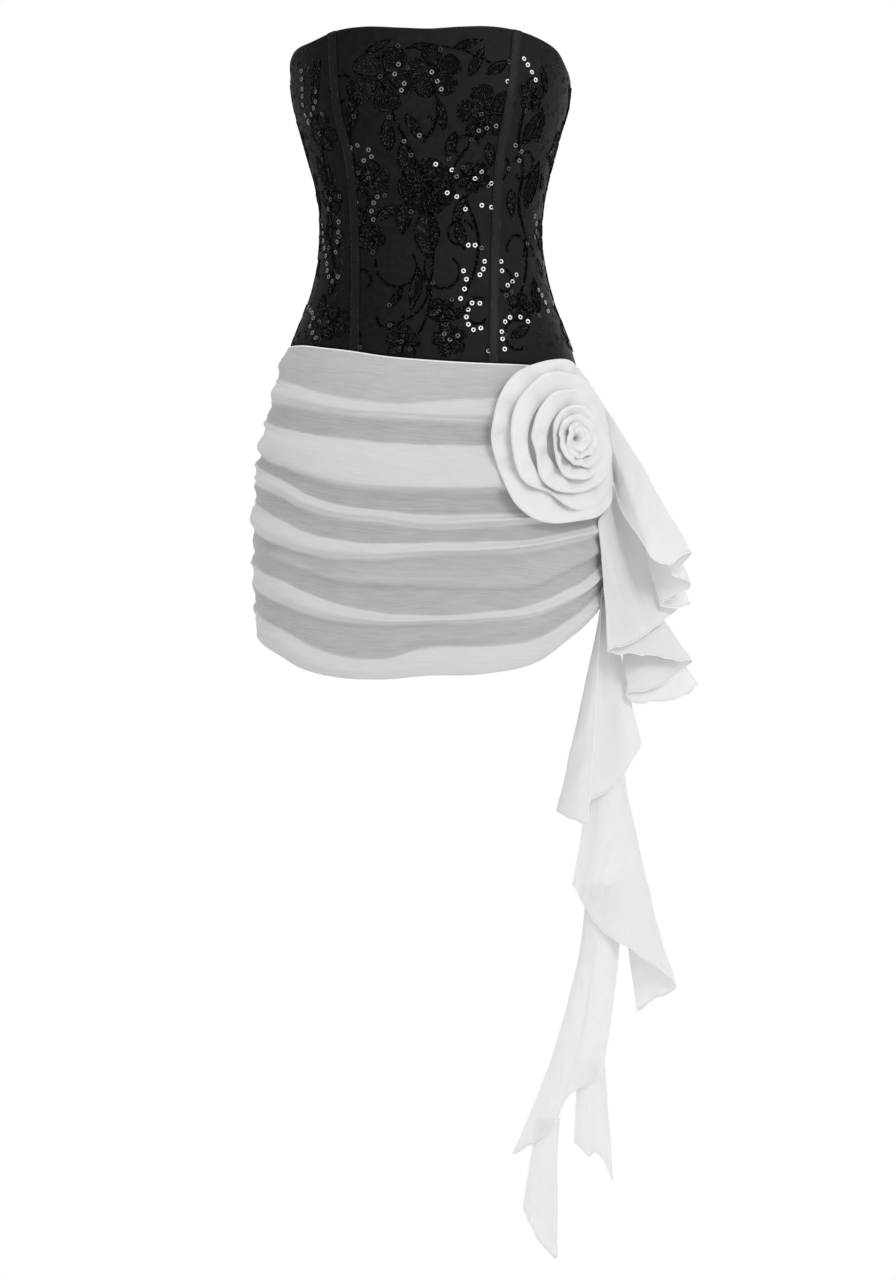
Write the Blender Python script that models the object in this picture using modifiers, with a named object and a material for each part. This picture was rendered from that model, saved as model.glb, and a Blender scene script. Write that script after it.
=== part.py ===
"""A strapless corset dress with a ruched skirt, a hip rosette and a cascade.

Sizes are in millimetres until a mesh is written. The origin is the middle of the
waist, the front faces -Y, +X is the wearer's left, and +Z is up. Every cloth piece is
an open sheet laid over one body form, or hung from it, and thickened to a wall.
"""
import math

import bmesh
import bpy
import numpy as np
from mathutils import Matrix, Vector

MM = 0.001
SEAM_GAP = 0.35
BODICE_WALL = 2.0
CHIFFON_WALL = 1.2
CHANNEL_WIDTH = 10.0
CHANNEL_WALL = 1.6
UNDER_TO_OVER = 2.6
TURN_OF_WEARER = 4.5

# The body form: height, half width, depth in front, depth behind.
FORM = (
    (-500, 176.0, 118.0, 126.0),
    (-424, 176.0, 117.0, 126.0),
    (-391, 179.0, 116.0, 127.0),
    (-333, 181.0, 114.0, 130.0),
    (-298, 180.0, 112.0, 132.0),
    (-274, 178.5, 111.0, 133.0),
    (-241, 174.5, 109.0, 134.0),
    (-205, 167.0, 107.0, 132.0),
    (-168, 158.0, 104.5, 127.0),
    (-139, 151.0, 103.0, 119.0),
    (-126, 147.0, 102.0, 115.0),
    (-101, 137.5, 98.0, 107.0),
    (-76, 128.0, 94.0, 99.0),
    (-50, 121.0, 91.0, 91.0),
    (-25, 117.0, 89.0, 85.0),
    (0, 116.0, 88.0, 82.0),
    (25, 118.0, 90.0, 82.0),
    (50, 123.0, 95.0, 85.0),
    (76, 130.0, 101.0, 88.0),
    (101, 137.0, 107.0, 91.0),
    (126, 144.0, 111.0, 93.0),
    (151, 147.0, 111.0, 92.0),
    (183, 149.0, 107.0, 90.0),
    (215, 150.0, 101.0, 88.0),
)
SQUARENESS = 2.4
CUP_ANGLE = 38.0
CUP_SPREAD = 21.0
CUP_HEIGHT = 132.0
CUP_RISE = 46.0
CUP_OUT = 12.0

# The top edge of the corset: angle from the front, height.
NECKLINE = (
    (-180, 141), (-140, 142), (-110, 148), (-90, 160), (-80, 173), (-70, 186),
    (-58, 195), (-46, 206), (-34, 210), (-14, 209), (4, 208), (22, 210), (38, 210),
    (50, 205), (60, 196), (68, 186), (78, 166), (90, 152), (110, 145), (140, 142),
    (180, 141),
)
# The front seams under the boning channels: height, distance from the middle.
PRINCESS = ((-160, 73), (-127, 73), (0, 74), (71, 79), (130, 91), (200, 97), (220, 98))
BACK_SEAM = 138.0
ZIP_SLOT = 1.5

# The fold lines of the ruched overskirt, from the top seam to the hem. Each row has the
# line's name, how far it stands out, how far at the side seams, its height at the
# middle of the back, and its heights at the ten angles of FOLD_ANGLES.
FOLD_ANGLES = (-90, -64, -54, -41, -21, 4, 30, 50, 65, 90)
FOLDS = (
    ("seam", 0.0, 0.0, -134, (-127, -124, -126, -129, -135, -139, -142, -144, -147, -149)),
    ("gather", 2.0, 4.0, -150, (-144, -144, -148, -153, -159, -161, -161, -160, -161, -163)),
    ("one_top", 0.8, 0.5, -168, (-160, -166, -173, -180, -185, -184, -181, -178, -178, -178)),
    ("one", 5.0, 4.5, -180, (-173, -179, -184, -190, -193, -195, -196, -196, -197, -193)),
    ("one_low", 1.5, 0.8, -190, (-184, -188, -192, -196, -199, -202, -205, -207, -207, -205)),
    ("two_top", 1.0, 3.5, -206, (-203, -213, -217, -222, -227, -228, -229, -229, -228, -222)),
    ("two", 5.0, 1.0, -222, (-216, -227, -233, -240, -246, -248, -248, -246, -244, -238)),
    ("two_edge", 7.5, 5.0, -238, (-230, -244, -254, -263, -269, -271, -271, -268, -264, -255)),
    ("two_low", 2.0, 0.8, -246, (-238, -252, -261, -270, -276, -278, -278, -275, -271, -265)),
    ("three_top", 1.5, 4.5, -262, (-248, -265, -279, -291, -297, -302, -301, -300, -297, -277)),
    ("three", 5.5, 1.0, -274, (-257, -274, -288, -298, -303, -310, -308, -305, -302, -288)),
    ("three_low", 1.0, 4.5, -284, (-268, -283, -296, -305, -310, -317, -315, -311, -308, -297)),
    ("four_top", 1.5, 1.0, -300, (-284, -306, -319, -328, -332, -331, -330, -327, -318, -305)),
    ("four", 6.5, 4.5, -314, (-300, -323, -332, -338, -341, -339, -338, -333, -324, -312)),
    ("four_low", 1.2, 1.0, -324, (-314, -334, -342, -348, -348, -345, -344, -340, -331, -319)),
    ("ridge", 4.0, 4.5, -340, (-328, -346, -356, -366, -371, -372, -374, -371, -352, -327)),
    ("ridge_low", 0.8, 0.5, -352, (-338, -355, -365, -376, -382, -383, -384, -380, -361, -334)),
    ("five_top", 1.5, 4.0, -368, (-349, -369, -381, -394, -404, -407, -404, -395, -376, -342)),
    ("five", 6.5, 1.2, -382, (-361, -383, -394, -404, -412, -412, -409, -402, -385, -349)),
    ("five_low", 1.2, 4.5, -392, (-373, -394, -404, -413, -418, -417, -414, -408, -391, -355)),
    ("small", 3.5, 1.0, -406, (-385, -408, -419, -430, -435, -430, -427, -417, -399, -361)),
    ("six_top", 1.2, 4.0, -418, (-398, -420, -434, -448, -453, -440, -439, -432, -408, -368)),
    ("six", 5.0, 1.5, -434, (-411, -434, -449, -461, -464, -457, -455, -445, -417, -376)),
    ("hem", 3.0, 3.0, -448, (-424, -448, -462, -471, -474, -470, -468, -456, -427, -385)),
)
FRONT_COLUMNS = (
    -90, -83, -76, -68, -60, -51, -42, -32, -21, -10, 1, 12, 23, 34, 44, 53, 61, 69, 76,
    83, 90,
)
BACK_COLUMNS = (
    90, 99, 109, 120, 132, 144, 156, 168, 180, 192, 204, 216, 228, 240, 251, 261, 270,
)
UNDERSKIRT_ROWS = 7

# The rosette: where its middle sits on the hip and its half sizes.
ROSETTE_ANGLE = 60.0
ROSETTE_HEIGHT = -224.0
ROSETTE_ACROSS = 74.0
ROSETTE_UP = 87.0
BACKING_OUT = 11.6
HELD_OUT = 9.0
BACKING_SHARE = 0.60

# The falls of the cascade. Each row is one line of the cloth, from where it is held to
# its hem, as seen from the front: across, height and depth of the top, then of the hem.
FLOUNCE_UPPER = (
    (185, -244, -24, 189, -256, -26),
    (184, -228, -22, 199, -294, -40),
    (181, -208, -20, 219, -326, -58),
    (179, -190, -19, 235, -349, -66),
    (177, -174, -18, 252, -352, -58),
    (175, -163, -16, 272, -339, -46),
    (175, -165, -11, 265, -353, -37),
    (175, -169, -7, 252, -362, -32),
    (176, -172, -2, 273, -372, -20),
    (176, -177, 3, 258, -386, -11),
    (177, -182, 8, 240, -395, -5),
    (178, -188, 12, 257, -398, 2),
    (179, -194, 17, 272, -394, 10),
)
FLOUNCE_MIDDLE = (
    (190, -267, 20, 268, -396, 17),
    (190, -268, 15, 256, -401, 12),
    (190, -270, 8, 245, -411, 4),
    (190, -275, -2, 233, -420, -10),
    (190, -282, -16, 219, -430, -32),
    (187, -294, -38, 204, -437, -55),
    (180, -307, -62, 186, -443, -74),
    (181, -322, -59, 193, -446, -56),
    (187, -332, -41, 217, -448, -24),
    (190, -337, -20, 239, -450, 6),
    (190, -341, -6, 260, -454, 20),
    (190, -344, 4, 274, -455, 28),
    (190, -347, 10, 262, -465, 34),
    (190, -350, 10, 247, -476, 27),
    (190, -353, 6, 225, -486, 14),
    (190, -356, 4, 207, -489, 7),
    (190, -359, 9, 211, -497, 13),
    (190, -362, 15, 232, -498, 24),
    (190, -364, 20, 256, -496, 32),
    (190, -366, 26, 281, -480, 39),
)
CASCADE_FRONT = (
    (190, -376, 26, 221, -541, 20),
    (190, -377, 19, 208, -565, 10),
    (190, -376, 9, 194, -583, -3),
    (189, -375, -5, 178, -595, -14),
    (187, -375, -20, 166, -602, -22),
    (183, -375, -36, 151, -605, -28),
    (178, -376, -50, 132, -610, -27),
    (177, -382, -53, 148, -620, -42),
    (177, -389, -54, 164, -628, -46),
)
CASCADE_BACK = (
    (172, -500, 3.7, 149, -689, 3),
    (176, -500, -0.3, 162, -712, -4),
    (181, -500, -2.3, 179, -737, -8),
    (186, -500, -0.3, 199, -750, -8),
    (191, -500, 5.7, 229, -770, -2),
    (195, -500, 12.7, 248, -785, 6),
    (197, -500, 20.7, 257, -799, 15),
    (192, -500, 26.7, 235, -809, 24),
    (187, -500, 30.7, 217, -824, 30),
)
STREAMER = (
    (200, -690, 7.4, 178, -891, 17),
    (194, -690, 0.4, 165, -899, 10),
    (188, -690, -3.6, 153, -904, 6),
    (182, -690, -4.6, 142, -914, 4),
    (176, -690, -3.6, 133, -934, 4),
    (171, -690, -1.6, 124, -949, 3),
    (166, -690, 2.4, 107, -961, 4),
    (163, -690, 7.4, 85, -973, 9),
)
TAIL_LEFT = (
    (112, -935, 7.6, 97, -1030, 15),
    (118, -935, 5.6, 103, -1044, 12),
    (124, -935, 5.1, 115, -1066, 12),
    (131, -935, 6.6, 132, -1081, 16),
    (135, -935, 13, 126, -1040, 26),
)
TAIL_RIGHT = (
    (155, -872, 12.9, 151, -961, 22),
    (160, -872, 10.4, 159, -969, 20),
    (167, -872, 10.4, 167, -976, 20),
    (173, -872, 14.4, 172, -970, 26),
    (178, -872, 22, 182, -980, 29),
    (182, -872, 28, 191, -1002, 33),
)

# Colours: red, green, blue, roughness, metal.
COLOURS = {
    "corset": (0.012, 0.012, 0.013, 0.62, 0.0),
    "channel": (0.016, 0.016, 0.017, 0.5, 0.0),
    "chiffon": (0.80, 0.81, 0.82, 0.7, 0.0),
    "underskirt": (0.48, 0.49, 0.50, 0.75, 0.0),
    "tape": (0.015, 0.015, 0.016, 0.8, 0.0),
    "metal": (0.05, 0.05, 0.055, 0.35, 0.9),
}


def smooth(table, column, at):
    """A smooth curve through one column of a table whose first column rises."""
    xs = [row[0] for row in table]
    ys = [row[column] for row in table]
    at = min(max(at, xs[0]), xs[-1])
    k = 0
    while k < len(xs) - 2 and at > xs[k + 1]:
        k += 1
    step = xs[k + 1] - xs[k]
    slope = (ys[k + 1] - ys[k]) / step
    before = (ys[k] - ys[k - 1]) / (xs[k] - xs[k - 1]) if k else slope
    after = slope
    if k < len(xs) - 2:
        after = (ys[k + 2] - ys[k + 1]) / (xs[k + 2] - xs[k + 1])
    start = (before + slope) / 2
    end = (slope + after) / 2
    t = (at - xs[k]) / step
    return (
        ys[k] * (2 * t**3 - 3 * t**2 + 1)
        + start * step * (t**3 - 2 * t**2 + t)
        + ys[k + 1] * (3 * t**2 - 2 * t**3)
        + end * step * (t**3 - t**2)
    )


def turned(angle):
    """The same angle between -180 and 180."""
    return (angle + 180.0) % 360.0 - 180.0


def radius(angle, height):
    """The form's radius at an angle from the front."""
    angle = turned(angle)
    deep = 2 if abs(angle) <= 90 else 3
    way = math.radians(angle)
    across = abs(math.sin(way)) / smooth(FORM, 1, height)
    along = abs(math.cos(way)) / smooth(FORM, deep, height)
    plain = (across**SQUARENESS + along**SQUARENESS) ** (-1 / SQUARENESS)
    off = ((abs(angle) - CUP_ANGLE) / CUP_SPREAD) ** 2
    off += ((height - CUP_HEIGHT) / CUP_RISE) ** 2
    return plain + CUP_OUT * math.exp(-off)


def on_form(angle, height):
    far = radius(angle, height)
    way = math.radians(angle)
    return Vector((far * math.sin(way), -far * math.cos(way), height))


def place(angle, height, out=0.0):
    """A point of the form, moved out along the form's own direction there."""
    across = on_form(angle + 0.6, height) - on_form(angle - 0.6, height)
    up = on_form(angle, height + 1.5) - on_form(angle, height - 1.5)
    return on_form(angle, height) + across.cross(up).normalized() * out


def seen(across, height, depth):
    """A point given as it is seen from the front, with the wearer slightly turned."""
    way = math.radians(TURN_OF_WEARER)
    x = across * math.cos(way) - depth * math.sin(way)
    y = across * math.sin(way) + depth * math.cos(way)
    return Vector((x, y, height))


def neckline(angle):
    return smooth(NECKLINE, 1, turned(angle))


def waistband(angle):
    """The seam under the corset, which is the skirt's first line."""
    return fold_height(FOLDS[0], angle)


def princess(height):
    """The angle of the front seam under a boning channel."""
    want = smooth(PRINCESS, 1, height)
    low, high = 5.0, 85.0
    for _ in range(30):
        middle = (low + high) / 2
        if on_form(middle, height).x < want:
            low = middle
        else:
            high = middle
    return low


def moved(line, by):
    """A seam line moved round the form by millimetres."""
    return lambda height: line(height) + math.degrees(by / radius(line(height), height))


def level(angle):
    return lambda height: angle


def patch(left, right, columns, rows, out, drop=0.0):
    """Rows of points of the bodice between two seam lines, from the top down."""
    grid = []
    for i in range(rows):
        down = i / (rows - 1)
        line = []
        for j in range(columns):
            share = j / (columns - 1)
            angle = left(0) * (1 - share) + right(0) * share
            height = 0.0
            for _ in range(4):
                top = neckline(angle) - drop
                low = waistband(angle) + drop
                height = top * (1 - down) + low * down
                angle = left(height) * (1 - share) + right(height) * share
            line.append(place(angle, height, out))
        grid.append(line)
    return grid


def new_object(name, mesh, colour, collection):
    obj = bpy.data.objects.new(name, mesh)
    collection.objects.link(obj)
    red, green, blue, rough, metal = COLOURS[colour]
    material = bpy.data.materials.new(name + "_" + colour)
    material.use_nodes = True
    shader = material.node_tree.nodes["Principled BSDF"]
    shader.inputs["Base Color"].default_value = (red, green, blue, 1.0)
    shader.inputs["Roughness"].default_value = rough
    shader.inputs["Metallic"].default_value = metal
    mesh.materials.append(material)
    return obj


def cloth(name, grid, wall, colour, side=-1.0, closed=False, hub=None):
    """A sheet through rows of points, thickened to a wall on one side or both."""
    columns = len(grid[0])
    points = [tuple(p * MM) for row in grid for p in row]
    faces = []
    for i in range(len(grid) - 1):
        for j in range(columns if closed else columns - 1):
            after = (j + 1) % columns
            here, below = i * columns, (i + 1) * columns
            faces.append((here + j, below + j, below + after, here + after))
    if hub is not None:
        points.append(tuple(hub * MM))
        for j in range(columns):
            faces.append((len(points) - 1, j, (j + 1) % columns))
    mesh = bpy.data.meshes.new(name)
    mesh.from_pydata(points, [], faces)
    mesh.shade_smooth()
    obj = new_object(name, mesh, colour, dress)
    solid = obj.modifiers.new("wall", "SOLIDIFY")
    solid.thickness = wall * MM
    solid.offset = side
    solid.use_even_offset = False
    return obj


def fold_height(fold, angle):
    """The height of one fold line at an angle, all the way round the skirt."""
    angle = turned(angle)
    _, _, _, back, heights = fold
    left, right = heights[0], heights[-1]
    ring = [(-180, back), (-135, back * 0.55 + left * 0.45)]
    ring += list(zip(FOLD_ANGLES, heights))
    ring += [(135, back * 0.55 + right * 0.45), (180, back)]
    return smooth(ring, 1, angle)


def fold_out(number, angle):
    """How far a fold line stands out at an angle, with uneven gathers."""
    _, middle, side, _, _ = FOLDS[number]
    turn = abs(turned(angle))
    near = max(0.0, 1.0 - abs(turn - 90.0) / 18.0)
    near = near * near * (3 - 2 * near)
    uneven = 1.0 + 0.28 * math.sin(math.radians(angle) * 3.1 + 1.9 * number)
    if turn > 90:
        uneven *= 0.8 + 0.25 * math.sin(math.radians(angle) * 5.0 + 2.7 * number)
    return middle * uneven * (1 - near) + side * near


def skirt(angles, wall_out):
    """The ruched overskirt between two side seams."""
    grid = []
    above = [10000.0] * len(angles)
    for number, fold in enumerate(FOLDS):
        line = []
        for j, angle in enumerate(angles):
            height = min(fold_height(fold, angle), above[j] - 3.5)
            if number == 0:
                height -= 0.6
            above[j] = height
            out = wall_out + fold_out(number, angle)
            if number == 0:
                out = CHIFFON_WALL + 0.8
            line.append(place(angle, height, out))
        grid.append(line)
    return grid


def underskirt(angles):
    grid = []
    for i in range(UNDERSKIRT_ROWS):
        down = i / (UNDERSKIRT_ROWS - 1)
        line = []
        for angle in angles:
            top = waistband(angle) - 1.2
            hem = fold_height(FOLDS[-1], angle) + 8.0
            line.append(place(angle, top * (1 - down) + hem * down))
        grid.append(line)
    return grid


def trimmed(angles):
    """The angles of a skirt panel, its two ends drawn in by half the seam gap."""
    small = math.degrees(0.25 / 170.0)
    return [angles[0] + small, *angles[1:-1], angles[-1] - small]


def hip_angles():
    """Lengths round the form at the rosette's height, measured from its middle."""
    angles = [ROSETTE_ANGLE + step for step in range(-60, 91, 2)]
    spots = [on_form(angle, ROSETTE_HEIGHT) for angle in angles]
    lengths = [0.0]
    for a, b in zip(spots, spots[1:]):
        lengths.append(lengths[-1] + (b - a).length)
    middle = lengths[angles.index(ROSETTE_ANGLE)]
    return angles, [length - middle for length in lengths]


def hip(across, up, out):
    """A point by the rosette: along the hip, up, and out from the form."""
    angles, lengths = HIP
    angle = float(np.interp(across, lengths, angles))
    return place(angle, ROSETTE_HEIGHT + up, out)


def petal(share, turn, out):
    """A point at a share of the rosette's size, at a turn round it."""
    way = math.radians(turn)
    across = ROSETTE_ACROSS * share * math.cos(way)
    return hip(across, ROSETTE_UP * share * math.sin(way), out)


def rosette_wraps():
    """The spiral strip, from its foot on the backing to its flared edge."""
    turns, per_turn = 3.4, 20
    count = int(turns * per_turn) + 1
    grid = [[] for _ in range(5)]
    for k in range(count):
        t = k / (count - 1)
        turn = -40.0 + 360.0 * turns * t
        foot = 0.075 + 0.425 * t
        flare = 0.03 + 0.30 * t
        wave = math.sin(math.radians(turn * 2.6)) * (0.004 + 0.018 * t)
        high = 32.0 - 17.0 * t + 2.5 * math.sin(math.radians(turn * 1.7 + 30))
        base = BACKING_OUT + 0.75
        steps = (
            (foot, base),
            (foot + 0.10 * flare, base + 0.42 * high),
            (foot + 0.38 * flare + 0.4 * wave, base + 0.80 * high),
            (foot + 0.75 * flare + 0.8 * wave, base + high),
            (foot + 1.02 * flare + wave, base + 0.96 * high),
        )
        for row, (share, out) in zip(grid, steps):
            row.append(petal(share, turn, out))
    return grid


def rosette_collar():
    """The flat outer petals, a waved ring."""
    grid = [[] for _ in range(4)]
    count = 34
    base = BACKING_OUT + SEAM_GAP + CHIFFON_WALL + 0.5
    for k in range(count):
        turn = 360.0 * k / count
        wave = math.sin(math.radians(turn * 5 + 40))
        rim = 1.0 + 0.025 * math.sin(math.radians(turn * 3 + 100)) + 0.015 * wave
        steps = (
            (0.53, base),
            (0.70, base + 1.6 + 0.8 * wave),
            (0.86, base + 4.0 + 1.8 * wave),
            (rim, base + 3.2 + 2.4 * wave),
        )
        for row, (share, out) in zip(grid, steps):
            row.append(petal(share, turn, out))
    return grid


def between(rows, share):
    """A row of a fall's table at a share between its rows, on a smooth curve."""
    count = len(rows)
    spot = share * (count - 1)
    k = min(int(spot), count - 2)
    t = spot - k
    p0 = np.array(rows[max(k - 1, 0)], float)
    p1 = np.array(rows[k], float)
    p2 = np.array(rows[k + 1], float)
    p3 = np.array(rows[min(k + 2, count - 1)], float)
    return 0.5 * (
        2 * p1
        + (p2 - p0) * t
        + (2 * p0 - 5 * p1 + 4 * p2 - p3) * t**2
        + (3 * p1 - p0 - 3 * p2 + p3) * t**3
    )


def laid(point, out):
    """The point of the form nearest in angle and height, moved out."""
    return place(math.degrees(math.atan2(point.x, -point.y)), point.z, out)


def fall(table, steps, spread=1.0, belly=0.0, held=None):
    """Cloth hung from its top line to its hem, two columns for each line of the table.

    Where held is given, the top line lies on the skirt at that distance from the form.
    """
    columns = 2 * len(table) - 1
    ends = []
    for j in range(columns):
        row = between(table, j / (columns - 1))
        top = seen(*row[:3])
        ends.append((laid(top, held) if held else top, seen(*row[3:])))
    grid = []
    for i in range(steps):
        down = i / (steps - 1)
        out = down**spread
        line = []
        for top, hem in ends:
            x = top.x + (hem.x - top.x) * out + belly * math.sin(math.pi * down)
            y = top.y + (hem.y - top.y) * out
            line.append(Vector((x, y, top.z + (hem.z - top.z) * down)))
        grid.append(line)
    return grid


def zip_tape():
    """The closed zip: a flat tape behind the backs and its chain in their slot."""
    section = (
        (-11.0, -4.1), (11.0, -4.1), (11.0, -2.9), (1.1, -2.9), (1.1, -0.3),
        (-1.1, -0.3), (-1.1, -2.9), (-11.0, -2.9),
    )
    rows = 12
    points = []
    for i in range(rows):
        down = i / (rows - 1)
        height = (neckline(180) - 1.0) * (1 - down) + (waistband(180) + 1.0) * down
        for side, out in section:
            turn = math.degrees(side / radius(180, height))
            points.append(place(180 - turn, height, out))
    many = len(section)
    faces = [tuple(range(many))[::-1]]
    faces.append(tuple((rows - 1) * many + k for k in range(many)))
    for i in range(rows - 1):
        for k in range(many):
            after = (k + 1) % many
            faces.append(
                (i * many + k, i * many + after, (i + 1) * many + after, (i + 1) * many + k)
            )
    mesh = bpy.data.meshes.new("zip_tape")
    mesh.from_pydata([tuple(p * MM) for p in points], [], faces)
    shape = bmesh.new()
    shape.from_mesh(mesh)
    bmesh.ops.recalc_face_normals(shape, faces=shape.faces)
    shape.to_mesh(mesh)
    shape.free()
    return new_object("zip_tape", mesh, "tape", dress)


def block(name, size, middle, frame, colour, collection, bevel=0.0):
    """A box in the slider's own frame, its edges eased."""
    shape = bmesh.new()
    bmesh.ops.create_cube(shape, size=1.0)
    scale = Matrix.Diagonal((size[0] * MM, size[1] * MM, size[2] * MM, 1.0))
    shift = Matrix.Translation(Vector(middle) * MM)
    bmesh.ops.transform(shape, matrix=frame @ shift @ scale, verts=shape.verts)
    mesh = bpy.data.meshes.new(name)
    shape.to_mesh(mesh)
    shape.free()
    obj = new_object(name, mesh, colour, collection)
    if bevel:
        ease = obj.modifiers.new("ease", "BEVEL")
        ease.width = bevel * MM
        ease.segments = 2
        ease.limit_method = "ANGLE"
    return obj


def rod(name, across, half, middle, frame, colour, collection):
    """A round rod along X in the slider's own frame."""
    shape = bmesh.new()
    bmesh.ops.create_cone(
        shape, cap_ends=True, segments=20, radius1=across * MM, radius2=across * MM,
        depth=2 * half * MM,
    )
    turn = Matrix.Rotation(math.radians(90), 4, "Y")
    shift = Matrix.Translation(Vector(middle) * MM)
    bmesh.ops.transform(shape, matrix=frame @ shift @ turn, verts=shape.verts)
    mesh = bpy.data.meshes.new(name)
    shape.to_mesh(mesh)
    shape.free()
    return new_object(name, mesh, colour, collection)


def combine(obj, other, how):
    step = obj.modifiers.new(how.lower() + "_" + other.name, "BOOLEAN")
    step.operation = how
    step.solver = "EXACT"
    step.object = other


def slider_and_tab():
    """The slider with two lugs and a bar, and the tab that turns on the bar."""
    height = neckline(180) - 8.0
    foot = place(180, height, 0.0)
    out = (place(180, height, 1.0) - foot).normalized()
    side = Vector((1.0, 0.0, 0.0))
    up = side.cross(out).normalized()
    frame = Matrix(
        (
            (side.x, out.x, up.x, foot.x * MM),
            (side.y, out.y, up.y, foot.y * MM),
            (side.z, out.z, up.z, foot.z * MM),
            (0.0, 0.0, 0.0, 1.0),
        )
    )
    body_top = 2.4
    bar_out = body_top + 2.3
    slider = block(
        "zip_slider", (5.8, 2.0, 9.0), (0, body_top - 1.0, 0), frame, "metal", dress, 0.35
    )
    for way, name in ((-1, "lug_a"), (1, "lug_b")):
        lug = block(name, (0.9, 3.6, 2.4), (way * 2.4, bar_out - 0.9, 1.5), frame, "metal", helpers)
        combine(slider, lug, "UNION")
    bar = rod("bar", 0.6, 2.4, (0, bar_out, 1.5), frame, "metal", helpers)
    combine(slider, bar, "UNION")
    tab = block(
        "zip_tab", (3.2, 1.2, 17.0), (0, bar_out, 1.5 - 9.6), frame, "metal", dress, 0.3
    )
    eye = rod("eye", 1.9, 1.6, (0, bar_out, 1.5), frame, "metal", helpers)
    hole = rod("hole", 1.0, 3.0, (0, bar_out, 1.5), frame, "metal", helpers)
    combine(tab, eye, "UNION")
    combine(tab, hole, "DIFFERENCE")


for old in list(bpy.data.objects):
    bpy.data.objects.remove(old, do_unlink=True)
dress = bpy.data.collections.new("corset_dress")
bpy.context.scene.collection.children.link(dress)
helpers = bpy.data.collections.new("helpers")
bpy.context.scene.collection.children.link(helpers)
HIP = hip_angles()

GAP = 0.42
SIDES = (("left", 1), ("right", -1))


def mirrored(line, way):
    return lambda height: way * line(height)


cloth(
    "bodice_front",
    patch(moved(mirrored(princess, -1), GAP), moved(princess, -GAP), 9, 12, 0.0),
    BODICE_WALL,
    "corset",
)
for side_name, way in SIDES:
    # On the wearer's left the angles rise from the front to the back.
    seams = (
        (moved(princess, GAP + 0.1), moved(level(90), -GAP), "bodice_side_front_", 6),
        (moved(level(90), GAP), moved(level(BACK_SEAM), -GAP), "bodice_side_back_", 5),
        (moved(level(BACK_SEAM), GAP), moved(level(180), -ZIP_SLOT), "bodice_back_", 5),
    )
    for near, far, name, columns in seams:
        first, last = (near, far) if way > 0 else (mirrored(far, -1), mirrored(near, -1))
        cloth(name + side_name, patch(first, last, columns, 12, 0.0), BODICE_WALL, "corset")
    seam = mirrored(princess, way)
    band = patch(
        moved(seam, -CHANNEL_WIDTH / 2),
        moved(seam, CHANNEL_WIDTH / 2),
        3,
        12,
        CHANNEL_WALL + SEAM_GAP,
    )
    cloth("channel_" + side_name, band, CHANNEL_WALL, "channel")

zip_tape()
slider_and_tab()

cloth("underskirt_front", underskirt(trimmed(FRONT_COLUMNS)), CHIFFON_WALL, "underskirt")
cloth("underskirt_back", underskirt(trimmed(BACK_COLUMNS)), CHIFFON_WALL, "underskirt")
cloth("overskirt_front", skirt(trimmed(FRONT_COLUMNS), UNDER_TO_OVER), CHIFFON_WALL, "chiffon")
cloth("overskirt_back", skirt(trimmed(BACK_COLUMNS), UNDER_TO_OVER), CHIFFON_WALL, "chiffon")

backing = []
for share in (0.14, 0.30, 0.45, BACKING_SHARE):
    backing.append([petal(share, 360.0 * k / 34, BACKING_OUT) for k in range(34)])
cloth(
    "rosette_backing", backing, 1.6, "chiffon", closed=True, hub=petal(0.0, 0.0, BACKING_OUT)
)
cloth("rosette_wraps", rosette_wraps(), CHIFFON_WALL, "chiffon", side=0.0)
cloth("rosette_collar", rosette_collar(), CHIFFON_WALL, "chiffon", closed=True)

FALLS = (
    ("flounce_upper", fall(FLOUNCE_UPPER, 7, belly=3.0, held=HELD_OUT)),
    ("flounce_middle", fall(FLOUNCE_MIDDLE, 6, spread=0.85, held=HELD_OUT)),
    ("cascade_front", fall(CASCADE_FRONT, 7, spread=1.23, held=HELD_OUT)),
    ("cascade_back", fall(CASCADE_BACK, 7, spread=1.6)),
    ("streamer", fall(STREAMER, 7, spread=1.7)),
    ("tail_left", fall(TAIL_LEFT, 5)),
    ("tail_right", fall(TAIL_RIGHT, 5)),
)
for fall_name, fall_grid in FALLS:
    cloth(fall_name, fall_grid, CHIFFON_WALL, "chiffon", side=0.0)

for helper in helpers.objects:
    helper.hide_render = True
    helper.display_type = "WIRE"
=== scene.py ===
"""The looks of a strapless corset dress with a ruched skirt, a rosette and a cascade.

Lengths are in millimetres until a mesh is written. The origin is the middle of the
waist, the front faces -Y, +X is the wearer's left, and +Z is up.
"""
import math

import bpy
import numpy as np
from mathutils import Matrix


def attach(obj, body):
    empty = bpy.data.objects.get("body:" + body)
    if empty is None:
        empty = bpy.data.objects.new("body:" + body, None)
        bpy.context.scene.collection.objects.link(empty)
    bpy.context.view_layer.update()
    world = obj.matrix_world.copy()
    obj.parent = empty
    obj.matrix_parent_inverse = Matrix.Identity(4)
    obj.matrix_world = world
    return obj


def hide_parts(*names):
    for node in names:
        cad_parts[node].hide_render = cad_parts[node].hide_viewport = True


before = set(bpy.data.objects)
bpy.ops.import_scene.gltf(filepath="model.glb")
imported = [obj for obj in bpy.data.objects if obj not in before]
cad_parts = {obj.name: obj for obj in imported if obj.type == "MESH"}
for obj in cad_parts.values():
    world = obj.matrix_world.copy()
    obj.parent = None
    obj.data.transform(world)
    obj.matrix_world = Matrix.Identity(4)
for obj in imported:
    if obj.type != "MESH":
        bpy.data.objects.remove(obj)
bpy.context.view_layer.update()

MM = 0.001

# ------------------------------------------------------------------ camera
TURN_OF_WEARER = 4.5
CAMERA_AWAY = 40000.0
MIDDLE_ACROSS = 17.85
MIDDLE_HEIGHT = -432.6
SEEN_HEIGHT = 1344.0


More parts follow.
